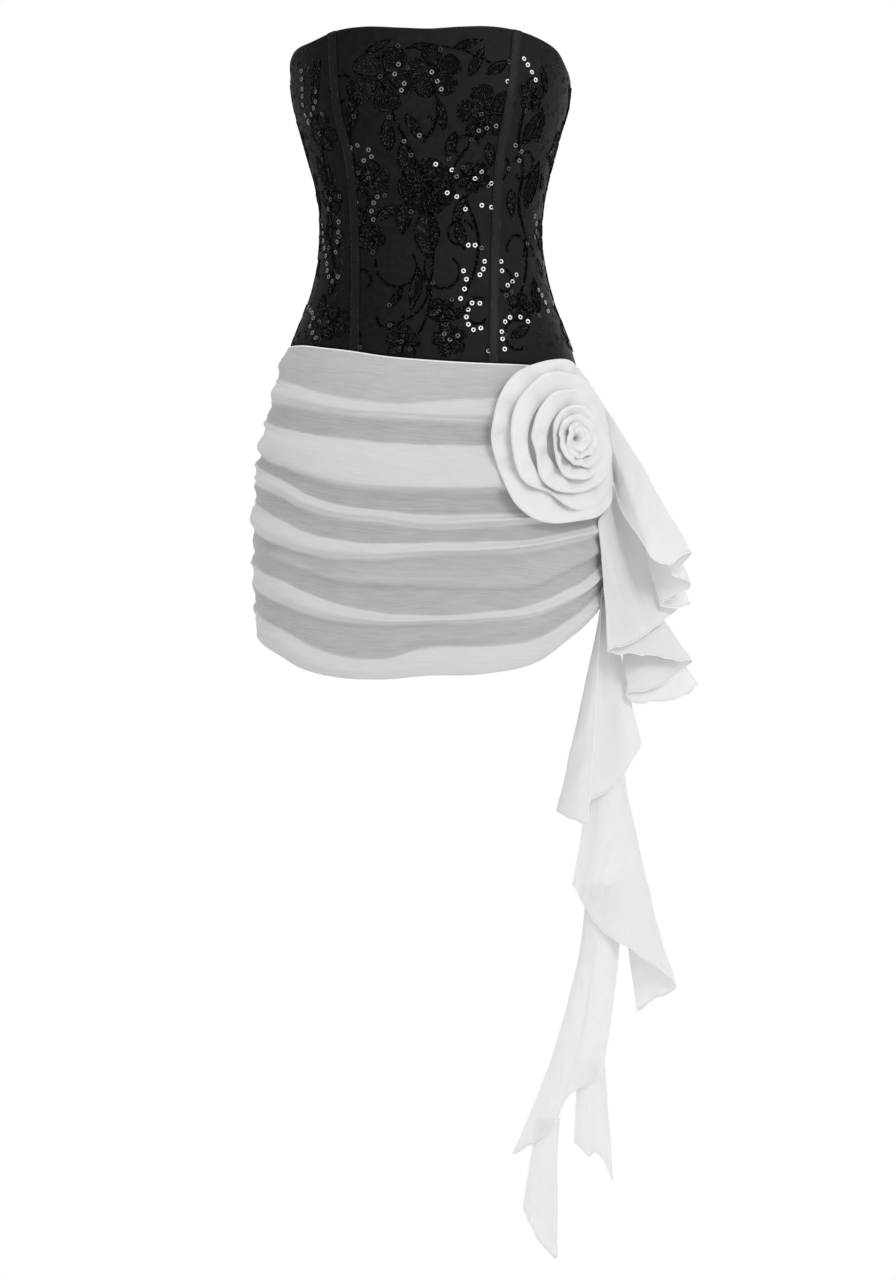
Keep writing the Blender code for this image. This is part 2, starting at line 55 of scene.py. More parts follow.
def seen(across, height, depth):
    """Points given as they are seen from the front, with the wearer slightly turned."""
    way = math.radians(TURN_OF_WEARER)
    across, height, depth = np.broadcast_arrays(
        np.asarray(across, float), np.asarray(height, float), np.asarray(depth, float)
    )
    x = across * math.cos(way) - depth * math.sin(way)
    y = across * math.sin(way) + depth * math.cos(way)
    return np.stack([x, y, height], -1)


def set_camera():
    lens = bpy.data.cameras.new("front_camera")
    lens.type = "PERSP"
    lens.sensor_fit = "VERTICAL"
    lens.sensor_height = 36.0
    lens.lens = 36.0 * CAMERA_AWAY / SEEN_HEIGHT
    lens.clip_end = 90.0
    camera = bpy.data.objects.new("front_camera", lens)
    camera.location = seen(MIDDLE_ACROSS, MIDDLE_HEIGHT, -CAMERA_AWAY) * MM
    camera.rotation_euler = (math.radians(90), 0.0, math.radians(TURN_OF_WEARER))
    bpy.context.scene.collection.objects.link(camera)
    bpy.context.scene.camera = camera


set_camera()

# ------------------------------------------------------------------ the body form
# Height, half width, depth in front, depth behind.
FORM = (
    (-500, 176.0, 118.0, 126.0), (-424, 176.0, 117.0, 126.0), (-391, 179.0, 116.0, 127.0),
    (-333, 181.0, 114.0, 130.0), (-298, 180.0, 112.0, 132.0), (-274, 178.5, 111.0, 133.0),
    (-241, 174.5, 109.0, 134.0), (-205, 167.0, 107.0, 132.0), (-168, 158.0, 104.5, 127.0),
    (-139, 151.0, 103.0, 119.0), (-126, 147.0, 102.0, 115.0), (-101, 137.5, 98.0, 107.0),
    (-76, 128.0, 94.0, 99.0), (-50, 121.0, 91.0, 91.0), (-25, 117.0, 89.0, 85.0),
    (0, 116.0, 88.0, 82.0), (25, 118.0, 90.0, 82.0), (50, 123.0, 95.0, 85.0),
    (76, 130.0, 101.0, 88.0), (101, 137.0, 107.0, 91.0), (126, 144.0, 111.0, 93.0),
    (151, 147.0, 111.0, 92.0), (183, 149.0, 107.0, 90.0), (215, 150.0, 101.0, 88.0),
)
SQUARENESS = 2.4
CUP_ANGLE, CUP_SPREAD, CUP_HEIGHT, CUP_RISE, CUP_OUT = 38.0, 21.0, 132.0, 46.0, 12.0
NECKLINE = (
    (-180, 141), (-140, 142), (-110, 148), (-90, 160), (-80, 173), (-70, 186), (-58, 195),
    (-46, 206), (-34, 210), (-14, 209), (4, 208), (22, 210), (38, 210), (50, 205),
    (60, 196), (68, 186), (78, 166), (90, 152), (110, 145), (140, 142), (180, 141),
)
PRINCESS = ((-160, 73), (-127, 73), (0, 74), (71, 79), (130, 91), (200, 97), (220, 98))
BACK_SEAM = 138.0
ZIP_SLOT = 1.5
CHANNEL_WIDTH = 10.0
CHANNEL_OUT = 1.95
GAP = 0.42

# The fold lines of the ruched overskirt, from the top seam to the hem: how far each
# stands out, how far at the side seams, its height at the middle of the back, and its
# heights at the ten angles of FOLD_ANGLES.
FOLD_ANGLES = (-90, -64, -54, -41, -21, 4, 30, 50, 65, 90)
FOLDS = (
    (0.0, 0.0, -134, (-127, -124, -126, -129, -135, -139, -142, -144, -147, -149)),
    (2.0, 4.0, -150, (-144, -144, -148, -153, -159, -161, -161, -160, -161, -163)),
    (0.8, 0.5, -168, (-160, -166, -173, -180, -185, -184, -181, -178, -178, -178)),
    (5.0, 4.5, -180, (-173, -179, -184, -190, -193, -195, -196, -196, -197, -193)),
    (1.5, 0.8, -190, (-184, -188, -192, -196, -199, -202, -205, -207, -207, -205)),
    (1.0, 3.5, -206, (-203, -213, -217, -222, -227, -228, -229, -229, -228, -222)),
    (5.0, 1.0, -222, (-216, -227, -233, -240, -246, -248, -248, -246, -244, -238)),
    (7.5, 5.0, -238, (-230, -244, -254, -263, -269, -271, -271, -268, -264, -255)),
    (2.0, 0.8, -246, (-238, -252, -261, -270, -276, -278, -278, -275, -271, -265)),
    (1.5, 4.5, -262, (-248, -265, -279, -291, -297, -302, -301, -300, -297, -277)),
    (5.5, 1.0, -274, (-257, -274, -288, -298, -303, -310, -308, -305, -302, -288)),
    (1.0, 4.5, -284, (-268, -283, -296, -305, -310, -317, -315, -311, -308, -297)),
    (1.5, 1.0, -300, (-284, -306, -319, -328, -332, -331, -330, -327, -318, -305)),
    (6.5, 4.5, -314, (-300, -323, -332, -338, -341, -339, -338, -333, -324, -312)),
    (1.2, 1.0, -324, (-314, -334, -342, -348, -348, -345, -344, -340, -331, -319)),
    (4.0, 4.5, -340, (-328, -346, -356, -366, -371, -372, -374, -371, -352, -327)),
    (0.8, 0.5, -352, (-338, -355, -365, -376, -382, -383, -384, -380, -361, -334)),
    (1.5, 4.0, -368, (-349, -369, -381, -394, -404, -407, -404, -395, -376, -342)),
    (6.5, 1.2, -382, (-361, -383, -394, -404, -412, -412, -409, -402, -385, -349)),
    (1.2, 4.5, -392, (-373, -394, -404, -413, -418, -417, -414, -408, -391, -355)),
    (3.5, 1.0, -406, (-385, -408, -419, -430, -435, -430, -427, -417, -399, -361)),
    (1.2, 4.0, -418, (-398, -420, -434, -448, -453, -440, -439, -432, -408, -368)),
    (5.0, 1.5, -434, (-411, -434, -449, -461, -464, -457, -455, -445, -417, -376)),
    (3.0, 3.0, -448, (-424, -448, -462, -471, -474, -470, -468, -456, -427, -385)),
)
UNDER_TO_OVER = 2.6

ROSETTE_ANGLE, ROSETTE_HEIGHT = 60.0, -224.0
ROSETTE_ACROSS, ROSETTE_UP = 74.0, 87.0
BACKING_OUT = 11.6
HELD_OUT = 9.0

# The falls. Each row is one line of the cloth, from where it is held to its hem, as
# seen from the front: across, height and depth of the top, then of the hem.
FLOUNCE_UPPER = (
    (185, -244, -24, 189, -256, -26), (184, -228, -22, 199, -294, -40),
    (181, -208, -20, 219, -326, -58), (179, -190, -19, 235, -349, -66),
    (177, -174, -18, 252, -352, -58), (175, -163, -16, 272, -339, -46),
    (175, -165, -11, 265, -353, -37), (175, -169, -7, 252, -362, -32),
    (176, -172, -2, 273, -372, -20), (176, -177, 3, 258, -386, -11),
    (177, -182, 8, 240, -395, -5), (178, -188, 12, 257, -398, 2),
    (179, -194, 17, 272, -394, 10),
)
FLOUNCE_MIDDLE = (
    (190, -267, 20, 268, -396, 17),
    (190, -268, 15, 256, -401, 12),
    (190, -270, 8, 245, -411, 4),
    (190, -275, -2, 233, -420, -10),
    (190, -282, -16, 219, -430, -32),
    (187, -294, -38, 204, -437, -55),
    (180, -307, -62, 186, -443, -74),
    (181, -322, -59, 193, -446, -56),
    (187, -332, -41, 217, -448, -24),
    (190, -337, -20, 239, -450, 6),
    (190, -341, -6, 260, -454, 20),
    (190, -344, 4, 274, -455, 28),
    (190, -347, 10, 262, -465, 34),
    (190, -350, 10, 247, -476, 27),
    (190, -353, 6, 225, -486, 14),
    (190, -356, 4, 207, -489, 7),
    (190, -359, 9, 211, -497, 13),
    (190, -362, 15, 232, -498, 24),
    (190, -364, 20, 256, -496, 32),
    (190, -366, 26, 281, -480, 39),
)
CASCADE_FRONT = (
    (190, -376, 26, 221, -541, 20),
    (190, -377, 19, 208, -565, 10),
    (190, -376, 9, 194, -583, -3),
    (189, -375, -5, 178, -595, -14),
    (187, -375, -20, 166, -602, -22),
    (183, -375, -36, 151, -605, -28),
    (178, -376, -50, 132, -610, -27),
    (177, -382, -53, 148, -620, -42),
    (177, -389, -54, 164, -628, -46),
)
CASCADE_BACK = (
    (172, -500, 3.7, 149, -689, 3), (176, -500, -0.3, 162, -712, -4),
    (181, -500, -2.3, 179, -737, -8), (186, -500, -0.3, 199, -750, -8),
    (191, -500, 5.7, 229, -770, -2), (195, -500, 12.7, 248, -785, 6),
    (197, -500, 20.7, 257, -799, 15), (192, -500, 26.7, 235, -809, 24),
    (187, -500, 30.7, 217, -824, 30),
)
STREAMER = (
    (200, -690, 7.4, 178, -891, 17), (194, -690, 0.4, 165, -899, 10),
    (188, -690, -3.6, 153, -904, 6), (182, -690, -4.6, 142, -914, 4),
    (176, -690, -3.6, 133, -934, 4), (171, -690, -1.6, 124, -949, 3),
    (166, -690, 2.4, 107, -961, 4), (163, -690, 7.4, 85, -973, 9),
)
TAIL_LEFT = (
    (112, -935, 7.6, 97, -1030, 15), (118, -935, 5.6, 103, -1044, 12),
    (124, -935, 5.1, 115, -1066, 12), (131, -935, 6.6, 132, -1081, 16),
    (135, -935, 13, 126, -1040, 26),
)
TAIL_RIGHT = (
    (155, -872, 12.9, 151, -961, 22), (160, -872, 10.4, 159, -969, 20),
    (167, -872, 10.4, 167, -976, 20), (173, -872, 14.4, 172, -970, 26),
    (178, -872, 22, 182, -980, 29), (182, -872, 28, 191, -1002, 33),
)


def smooth(table, column, at):
    """A smooth curve through one column of a table whose first column rises."""
    xs = np.array([row[0] for row in table], float)
    ys = np.array([row[column] for row in table], float)
    slopes = np.diff(ys) / np.diff(xs)
    before = np.concatenate((slopes[:1], slopes))
    after = np.concatenate((slopes, slopes[-1:]))
    bend = (before + after) / 2
    at = np.clip(at, xs[0], xs[-1])
    k = np.clip(np.searchsorted(xs, at, side="right") - 1, 0, len(xs) - 2)
    step = xs[k + 1] - xs[k]
    t = (at - xs[k]) / step
    return (
        ys[k] * (2 * t**3 - 3 * t**2 + 1)
        + bend[k] * step * (t**3 - 2 * t**2 + t)
        + ys[k + 1] * (3 * t**2 - 2 * t**3)
        + bend[k + 1] * step * (t**3 - t**2)
    )


def between(rows, share):
    """Rows of a fall's table at shares between them, on a smooth curve."""
    table = np.array(rows, float)
    spot = share * (len(rows) - 1)
    k = np.minimum(spot.astype(int), len(rows) - 2)
    t = (spot - k)[:, None]
    p0, p1 = table[np.maximum(k - 1, 0)], table[k]
    p2, p3 = table[k + 1], table[np.minimum(k + 2, len(rows) - 1)]
    return 0.5 * (
        2 * p1 + (p2 - p0) * t + (2 * p0 - 5 * p1 + 4 * p2 - p3) * t**2
        + (3 * p1 - p0 - 3 * p2 + p3) * t**3
    )


def turned(angle):
    return (np.asarray(angle, float) + 180.0) % 360.0 - 180.0


def radius(angle, height):
    """The form's radius at an angle from the front."""
    angle = turned(angle)
    way = np.radians(angle)
    deep = np.where(np.abs(angle) <= 90, smooth(FORM, 2, height), smooth(FORM, 3, height))
    across = np.abs(np.sin(way)) / smooth(FORM, 1, height)
    along = np.abs(np.cos(way)) / deep
    plain = (across**SQUARENESS + along**SQUARENESS) ** (-1 / SQUARENESS)
    off = ((np.abs(angle) - CUP_ANGLE) / CUP_SPREAD) ** 2
    off = off + ((height - CUP_HEIGHT) / CUP_RISE) ** 2
    return plain + CUP_OUT * np.exp(-off)


def on_form(angle, height):
    angle, height = np.broadcast_arrays(np.asarray(angle, float), np.asarray(height, float))
    far = radius(angle, height)
    way = np.radians(angle)
    return np.stack([far * np.sin(way), -far * np.cos(way), height], -1)


def outward(angle, height):
    """The form's own outward direction."""
    angle, height = np.asarray(angle, float), np.asarray(height, float)
    across = on_form(angle + 0.6, height) - on_form(angle - 0.6, height)
    up = on_form(angle, height + 1.5) - on_form(angle, height - 1.5)
    way = np.cross(across, up)
    return way / np.linalg.norm(way, axis=-1, keepdims=True)


def place(angle, height, out=0.0):
    """Points of the form, moved out along the form's own direction there."""
    return on_form(angle, height) + outward(angle, height) * np.asarray(out)[..., None]


def seen_angle(across, height):
    """The angle of the form's point that is seen at a distance from the middle."""
    across, height = np.broadcast_arrays(np.asarray(across, float), np.asarray(height, float))
    low, high = np.full(across.shape, -75.0), np.full(across.shape, 85.0)
    for _ in range(24):
        middle = (low + high) / 2
        spot = radius(middle, height) * np.sin(np.radians(middle - TURN_OF_WEARER))
        low = np.where(spot < across, middle, low)
        high = np.where(spot < across, high, middle)
    return low


def neckline(angle):
    return smooth(NECKLINE, 1, turned(angle))


def fold_height(number, angle):
    """The height of one fold line at an angle, all the way round the skirt."""
    _, _, back, heights = FOLDS[number]
    ring = [(-180, back), (-135, back * 0.55 + heights[0] * 0.45)]
    ring += list(zip(FOLD_ANGLES, heights))
    ring += [(135, back * 0.55 + heights[-1] * 0.45), (180, back)]
    return smooth(ring, 1, turned(angle))


def waistband(angle):
    return fold_height(0, angle)


def princess(height):
    """The angle of the front seam under a boning channel."""
    want = smooth(PRINCESS, 1, height)
    low, high = np.full(np.shape(want), 5.0), np.full(np.shape(want), 85.0)
    for _ in range(30):
        middle = (low + high) / 2
        short = on_form(middle, height)[..., 0] < want
        low = np.where(short, middle, low)
        high = np.where(short, high, middle)
    return low


def moved(line, by):
    """A seam line moved round the form by millimetres."""
    return lambda height: line(height) + np.degrees(by / radius(line(height), height))


def level(angle):
    return lambda height: np.full(np.shape(height), float(angle))


def mirrored(line, way):
    return lambda height: way * line(height)


def patch_places(left, right, columns, rows, drop=0.0):
    """Angles and heights of a bodice panel between two seam lines, from the top down."""
    down, share = np.meshgrid(np.linspace(0, 1, rows), np.linspace(0, 1, columns), indexing="ij")
    zero = np.zeros_like(down)
    angle = left(zero) * (1 - share) + right(zero) * share
    height = zero
    for _ in range(5):
        top = neckline(angle) - drop
        low = waistband(angle) + drop
        height = top * (1 - down) + low * down
        angle = left(height) * (1 - share) + right(height) * share
    return angle, height


def uneven(u, v, seed):
    """Soft, seeded unevenness between -1 and 1, one bump for each unit of u and v."""
    net = np.random.default_rng(seed).uniform(-1, 1, (64, 64))
    u, v = np.asarray(u, float), np.asarray(v, float)
    i, j = np.floor(u).astype(int), np.floor(v).astype(int)
    s, t = u - i, v - j
    s, t = s * s * (3 - 2 * s), t * t * (3 - 2 * t)
    return (
        net[i % 64, j % 64] * (1 - s) * (1 - t)
        + net[(i + 1) % 64, j % 64] * s * (1 - t)
        + net[i % 64, (j + 1) % 64] * (1 - s) * t
        + net[(i + 1) % 64, (j + 1) % 64] * s * t
    )


# ------------------------------------------------------------------ shader words
class Wire:
    """One output of a material's node, with plain arithmetic."""

    def __init__(self, paint, socket):
        self.paint = paint
        self.socket = socket

    def sum(self, how, first, second):
        return self.paint.node("ShaderNodeMath", {"operation": how}, {0: first, 1: second})

    def __add__(self, other):
        return self.sum("ADD", self, other)

    def __radd__(self, other):
        return self.sum("ADD", other, self)

    def __sub__(self, other):
        return self.sum("SUBTRACT", self, other)

    def __mul__(self, other):
        return self.sum("MULTIPLY", self, other)

    def __pow__(self, other):
        return self.sum("POWER", self, other)


class Paint:
    """A procedural material, built up from named parts."""

    def __init__(self, name, colour, rough, metal=0.0, sheen=0.0, coat=0.0, gloss=0.5):
        self.material = bpy.data.materials.new(name)
        self.material.use_nodes = True
        self.tree = self.material.node_tree
        self.shader = self.tree.nodes["Principled BSDF"]
        self.set("Base Color", (*colour, 1.0))
        self.set("Roughness", rough)
        self.set("Metallic", metal)
        self.set("Sheen Weight", sheen)
        self.set("Sheen Roughness", 0.5)
        self.set("Coat Weight", coat)
        self.set("Specular IOR Level", gloss)

    def set(self, socket, value):
        self.join(self.shader.inputs[socket], value)

    def join(self, socket, value):
        if isinstance(value, Wire):
            self.tree.links.new(value.socket, socket)
        else:
            socket.default_value = value

    def node(self, kind, settings=None, values=None, out=0):
        """A node of a kind, its settings first, then the values or links of its sockets."""
        made = self.tree.nodes.new(kind)
        for key, value in (settings or {}).items():
            if key == "stops":
                ramp = made.color_ramp
                while len(ramp.elements) > 1:
                    ramp.elements.remove(ramp.elements[-1])
                for k, (at, shade) in enumerate(value):
                    stop = ramp.elements[0] if k == 0 else ramp.elements.new(at)
                    stop.position = at
                    stop.color = (shade, shade, shade, 1.0)
            else:
                setattr(made, key, value)
        for key, value in (values or {}).items():
            self.join(made.inputs[key], value)
        return Wire(self, made.outputs[out])

    def cut_places(self, across=1.0, down=1.0):
        """Places on the flat cut, in metres, stretched for a pattern."""
        spot = self.node("ShaderNodeUVMap", {"uv_map": "cut"})
        return self.node(
            "ShaderNodeVectorMath", {"operation": "MULTIPLY"}, {0: spot, 1: (across, down, 1.0)}
        )

    def noise(self, places, scale, detail=2.0):
        return self.node(
            "ShaderNodeTexNoise", None, {"Vector": places, "Scale": scale, "Detail": detail}
        )

    def ramp(self, value, *stops):
        return self.node("ShaderNodeValToRGB", {"stops": stops}, {"Fac": value})

    def mark(self, name):
        return self.node("ShaderNodeAttribute", {"attribute_name": name}, out=2)

    def body_places(self):
        """Places in the piece itself, for threads and metal that have no flat cut."""
        return self.node("ShaderNodeTexCoord", out=3)

    def blend(self, share, first, second):
        """A colour between two others, each given as three numbers or as a wire."""
        ends = [end if isinstance(end, Wire) else (*end, 1.0) for end in (first, second)]
        values = {0: share, 6: ends[0], 7: ends[1]}
        return self.node("ShaderNodeMix", {"data_type": "RGBA"}, values, out=2)

    def colour(self, share, first, second):
        self.set("Base Color", self.blend(share, first, second))

    def relief(self, height, depth, strength=1.0):
        bump = self.node(
            "ShaderNodeBump", None, {"Strength": strength, "Distance": depth * MM, "Height": height}
        )
        self.set("Normal", bump)

    def weave(self, pitch):
        """A plain weave: threads that cross at a pitch in millimetres."""
        spot = self.cut_places(1 / (pitch * MM), 1 / (pitch * MM))
        parts = self.tree.nodes.new("ShaderNodeSeparateXYZ")
        self.join(parts.inputs[0], spot)
        across = Wire(self, parts.outputs[0]) * math.tau
        down = Wire(self, parts.outputs[1]) * math.tau
        wave = self.node("ShaderNodeMath", {"operation": "SINE"}, {0: across})
        other = self.node("ShaderNodeMath", {"operation": "SINE"}, {0: down})
        return wave * other * 0.5 + 0.5


def glow(paint, share, colour):
    """Thin cloth: part of the light passes through to its other side."""
    tree = paint.tree
    through = tree.nodes.new("ShaderNodeBsdfTranslucent")
    through.inputs["Color"].default_value = (*colour, 1.0)
    mix = tree.nodes.new("ShaderNodeMixShader")
    mix.inputs[0].default_value = share
    tree.links.new(paint.shader.outputs[0], mix.inputs[1])
    tree.links.new(through.outputs[0], mix.inputs[2])
    tree.links.new(mix.outputs[0], tree.nodes["Material Output"].inputs["Surface"])


def corset_cloth():
    """Black net over satin: matt, faintly mottled, with painted light: its colour is lighter
    towards the side the key lamp lights.
    """
    paint = Paint("corset_cloth", (0.012, 0.012, 0.013), 0.6, sheen=0.02, gloss=0.08)
    mottle = paint.noise(paint.cut_places(), 140.0, 4.0)
    fine = paint.noise(paint.cut_places(), 900.0, 2.0)
    share = paint.ramp(mottle * 0.6 + fine * 0.4, (0.35, 0.0), (0.65, 1.0))
    # Painted light: half the colour share follows the painted_light mark, which makes the cloth
    # lighter towards +X.
    share = share * 0.5 + paint.mark("painted_light") * 0.5
    paint.colour(share, (0.001, 0.001, 0.0011), (0.0155, 0.0155, 0.016))
    paint.set("Roughness", 0.5 + mottle * 0.25)
    paint.relief(paint.weave(0.9) * 0.5 + fine * 0.5, 0.12)
    return paint.material


def channel_satin():
    paint = Paint("channel_satin", (0.03, 0.03, 0.031), 0.45, sheen=0.02, gloss=0.12)
    rib = paint.noise(paint.cut_places(1.0, 0.05), 2200.0, 2.0)
    # Painted light: most of the colour share follows the painted_light mark, so the two channels
    # are painted in different tones.
    share = rib * 0.3 + paint.mark("painted_light") * 0.7
    paint.colour(share, (0.001, 0.001, 0.0012), (0.017, 0.017, 0.0175))
    paint.set("Roughness", 0.38 + rib * 0.2)
    paint.relief(rib, 0.15)
    return paint.material


def braid_cord():
    """The raised outlines: dull black cord, darker than the cloth, with painted highlights: lighter
    specks where the twist noise is high.
    """
    paint = Paint("braid_cord", (0.002, 0.002, 0.002), 0.5, gloss=0.02)
    twist = paint.noise(paint.body_places(), 620.0, 2.0)
    # Painted highlights: specks of lighter colour stand in for light caught by the cord.
    painted_highlight_share = paint.ramp(twist, (0.57, 0.0), (0.67, 1.0))
    paint.colour(painted_highlight_share, (0.0006, 0.0006, 0.0007), (0.06, 0.06, 0.061))
    paint.set("Roughness", 0.35 + twist * 0.3)
    paint.relief(twist, 0.2)
    return paint.material


def embroidery_thread(name, painted_highlight_level):
    """The hatching inside the motifs: glossy black thread with painted highlights, lighter up to
    the given level where the twist noise is high.
    """
    paint = Paint(name, (0.03, 0.03, 0.031), 0.34, gloss=0.10)
    twist = paint.noise(paint.body_places(), 560.0, 2.0)
    # Painted highlights: lighter colour stands in for light caught by the thread.
    painted_highlight_share = paint.ramp(twist, (0.52, 0.0), (0.64, 1.0))
    paint.colour(painted_highlight_share, (0.002, 0.002, 0.0022), (painted_highlight_level, painted_highlight_level, painted_highlight_level))
    paint.set("Roughness", 0.28 + twist * 0.25)
    paint.relief(twist, 0.12)
    return paint.material


def satin_stitch():
    """The filling of petals and leaves: close black stitches, darker than the net."""
    paint = Paint("satin_stitch", (0.001, 0.001, 0.001), 0.6, gloss=0.03)
    fine = paint.noise(paint.body_places(), 1100.0, 2.0)
    paint.colour(fine, (0.0008, 0.0008, 0.0008), (0.0075, 0.0075, 0.0075))
    paint.relief(fine, 0.2)
    return paint.material


def sequin_film():
    """Thin glossy film: black, with painted glints that turn its colour silvery white where the
    painted_glint mark is high.
    """
    paint = Paint("sequin_film", (0.05, 0.05, 0.05), 0.18, metal=0.85, coat=0.6)
    # Painted glints: the painted_glint mark lightens the colour to white as if the sequin caught
    # the lamp.
    painted_glint = paint.mark("painted_glint") ** 1.8
    paint.colour(painted_glint, (0.02, 0.02, 0.022), (1.0, 1.0, 0.99))
    paint.set("Roughness", 0.22 + painted_glint * 0.2)
    return paint.material


def skirt_chiffon():
    """Sheer white cloth: grey where one layer lies on the skirt, white where it is doubled, with
    painted shade darkening the grey just below each doubled band.
    """
    paint = Paint("skirt_chiffon", (0.75, 0.76, 0.77), 0.72, sheen=0.25)
    streak = paint.noise(paint.cut_places(0.07, 1.0), 520.0, 4.0)
    cloud = paint.noise(paint.cut_places(0.4, 1.0), 60.0, 3.0)
    fold = paint.mark("fold") + (cloud - 0.5) * 0.22
    last = PLIES_AND_PAINTED_SHADE[-1][0]
    # The colour follows the layers, and painted shade under each doubled band.
    ply_and_painted_shade = paint.ramp(fold * (1 / last), *((at / last, shade) for at, shade in PLIES_AND_PAINTED_SHADE))
    colour = paint.blend(ply_and_painted_shade, (0.335, 0.34, 0.346), (0.655, 0.66, 0.666))
    grain = paint.ramp(streak * 0.7 + cloud * 0.3, (0.3, 0.0), (0.72, 1.0))
    paint.colour(grain * 0.24, colour, (0.90, 0.90, 0.91))
    paint.relief(streak * 0.8 + paint.weave(0.8) * 0.15, 0.8)
    return paint.material


# Where the overskirt is single, 0, and where it is doubled, 1, down its fold lines; the grey just
# below each doubled band is set darker, painted shade under its edge, and lightens towards the next
# band.
PLIES_AND_PAINTED_SHADE = (
    (0.0, 0.42), (1.9, 0.36), (2.05, 0.95), (3.9, 0.86), (4.2, 0.08), (4.95, 0.16),
    (5.05, 0.98), (7.75, 0.90), (8.15, 0.02), (8.95, 0.10), (9.05, 0.92), (10.9, 0.84),
    (11.1, 0.10), (11.95, 0.16), (12.05, 0.93), (13.8, 0.86), (14.1, 0.12), (14.9, 0.30),
    (15.4, 0.12), (16.95, 0.22), (17.05, 0.94), (18.8, 0.88), (19.1, 0.16), (20.9, 0.24),
    (21.1, 0.95), (23.0, 0.86),
)


def fall_chiffon():
    """The same sheer cloth hanging free: white, with fine lengthwise crinkle."""
    paint = Paint("fall_chiffon", (0.86, 0.865, 0.87), 0.7, sheen=0.2)
    streak = paint.noise(paint.cut_places(1.0, 0.12), 700.0, 3.0)
    cloud = paint.noise(paint.cut_places(), 25.0, 2.0)
    share = paint.ramp(streak * 0.6 + cloud * 0.4, (0.3, 0.0), (0.7, 1.0))
    paint.colour(share, (0.90, 0.902, 0.905), (0.98, 0.98, 0.98))
    paint.relief(streak * 0.7 + paint.weave(0.8) * 0.2, 0.25)
    glow(paint, 0.36, (0.98, 0.98, 0.982))
    return paint.material


def rosette_cloth():
    paint = Paint("rosette_cloth", (0.9, 0.9, 0.9), 0.62, sheen=0.25)
    streak = paint.noise(paint.cut_places(0.3, 1.0), 500.0, 3.0)
    cloud = paint.noise(paint.cut_places(), 30.0, 2.0)
    share = paint.ramp(streak * 0.5 + cloud * 0.5, (0.3, 0.0), (0.7, 1.0))
    paint.colour(share, (0.94, 0.94, 0.942), (0.985, 0.985, 0.985))
    paint.relief(streak * 0.6 + paint.weave(0.8) * 0.25, 0.2)
    glow(paint, 0.28, (0.97, 0.97, 0.97))
    return paint.material


def hem_thread():
    paint = Paint("hem_thread", (0.93, 0.93, 0.93), 0.6, sheen=0.2)
    twist = paint.noise(paint.body_places(), 900.0, 1.0)
    paint.colour(twist, (0.86, 0.86, 0.865), (0.96, 0.96, 0.96))
    paint.relief(twist, 0.2)
    return paint.material


def underskirt_satin():
    paint = Paint("underskirt_satin", (0.33, 0.335, 0.34), 0.5, sheen=0.1)
    streak = paint.noise(paint.cut_places(1.0, 0.1), 500.0, 2.0)
    paint.colour(streak, (0.30, 0.303, 0.31), (0.38, 0.383, 0.39))
    paint.relief(paint.weave(0.6), 0.1)
    return paint.material


def tape_weave():
    paint = Paint("tape_weave", (0.015, 0.015, 0.016), 0.75, sheen=0.1)
    rib = paint.noise(paint.cut_places(1.0, 0.2), 1500.0, 2.0)
    paint.colour(rib, (0.010, 0.010, 0.011), (0.026, 0.026, 0.027))
    paint.relief(paint.weave(1.2), 0.2)
    return paint.material


def black_metal():
    paint = Paint("black_metal", (0.04, 0.04, 0.042), 0.3, metal=0.9)
    wear = paint.noise(paint.body_places(), 700.0, 3.0)
    worn = paint.ramp(wear, (0.55, 0.0), (0.72, 1.0))
    paint.colour(worn, (0.035, 0.035, 0.037), (0.12, 0.12, 0.125))
    paint.set("Roughness", 0.25 + wear * 0.25)
    return paint.material


def studio_paper():
    paint = Paint("studio_paper", (0.93, 0.93, 0.93), 0.9)
    grain = paint.noise(paint.body_places(), 3.0, 2.0)
    paint.colour(grain, (0.92, 0.92, 0.92), (0.94, 0.94, 0.94))
    return paint.material


CORSET = corset_cloth()
CHANNEL = channel_satin()
THREAD = embroidery_thread("embroidery_thread", 0.095)
# The slanting strokes: the same thread with lighter painted highlights.
STROKE = embroidery_thread("slanting_thread_painted_highlights", 0.15)
PADDING = satin_stitch()
BRAID = braid_cord()
SEQUIN = sequin_film()
SKIRT = skirt_chiffon()
FALL = fall_chiffon()
ROSETTE = rosette_cloth()
HEM = hem_thread()
UNDER = underskirt_satin()
TAPE = tape_weave()
METAL = black_metal()
PAPER = studio_paper()


# ------------------------------------------------------------------ making meshes
def new_object(name, mesh, material):
    obj = bpy.data.objects.new(name, mesh)
    bpy.context.scene.collection.objects.link(obj)
    mesh.materials.append(material)
    return obj


def grid_diagonals(grid):
    """The area of a grid of points, from the diagonals of its meshes."""
    one = grid[1:, 1:] - grid[:-1, :-1]
    other = grid[1:, :-1] - grid[:-1, 1:]
    return float(np.linalg.norm(np.cross(one, other), axis=2).sum() / 2)


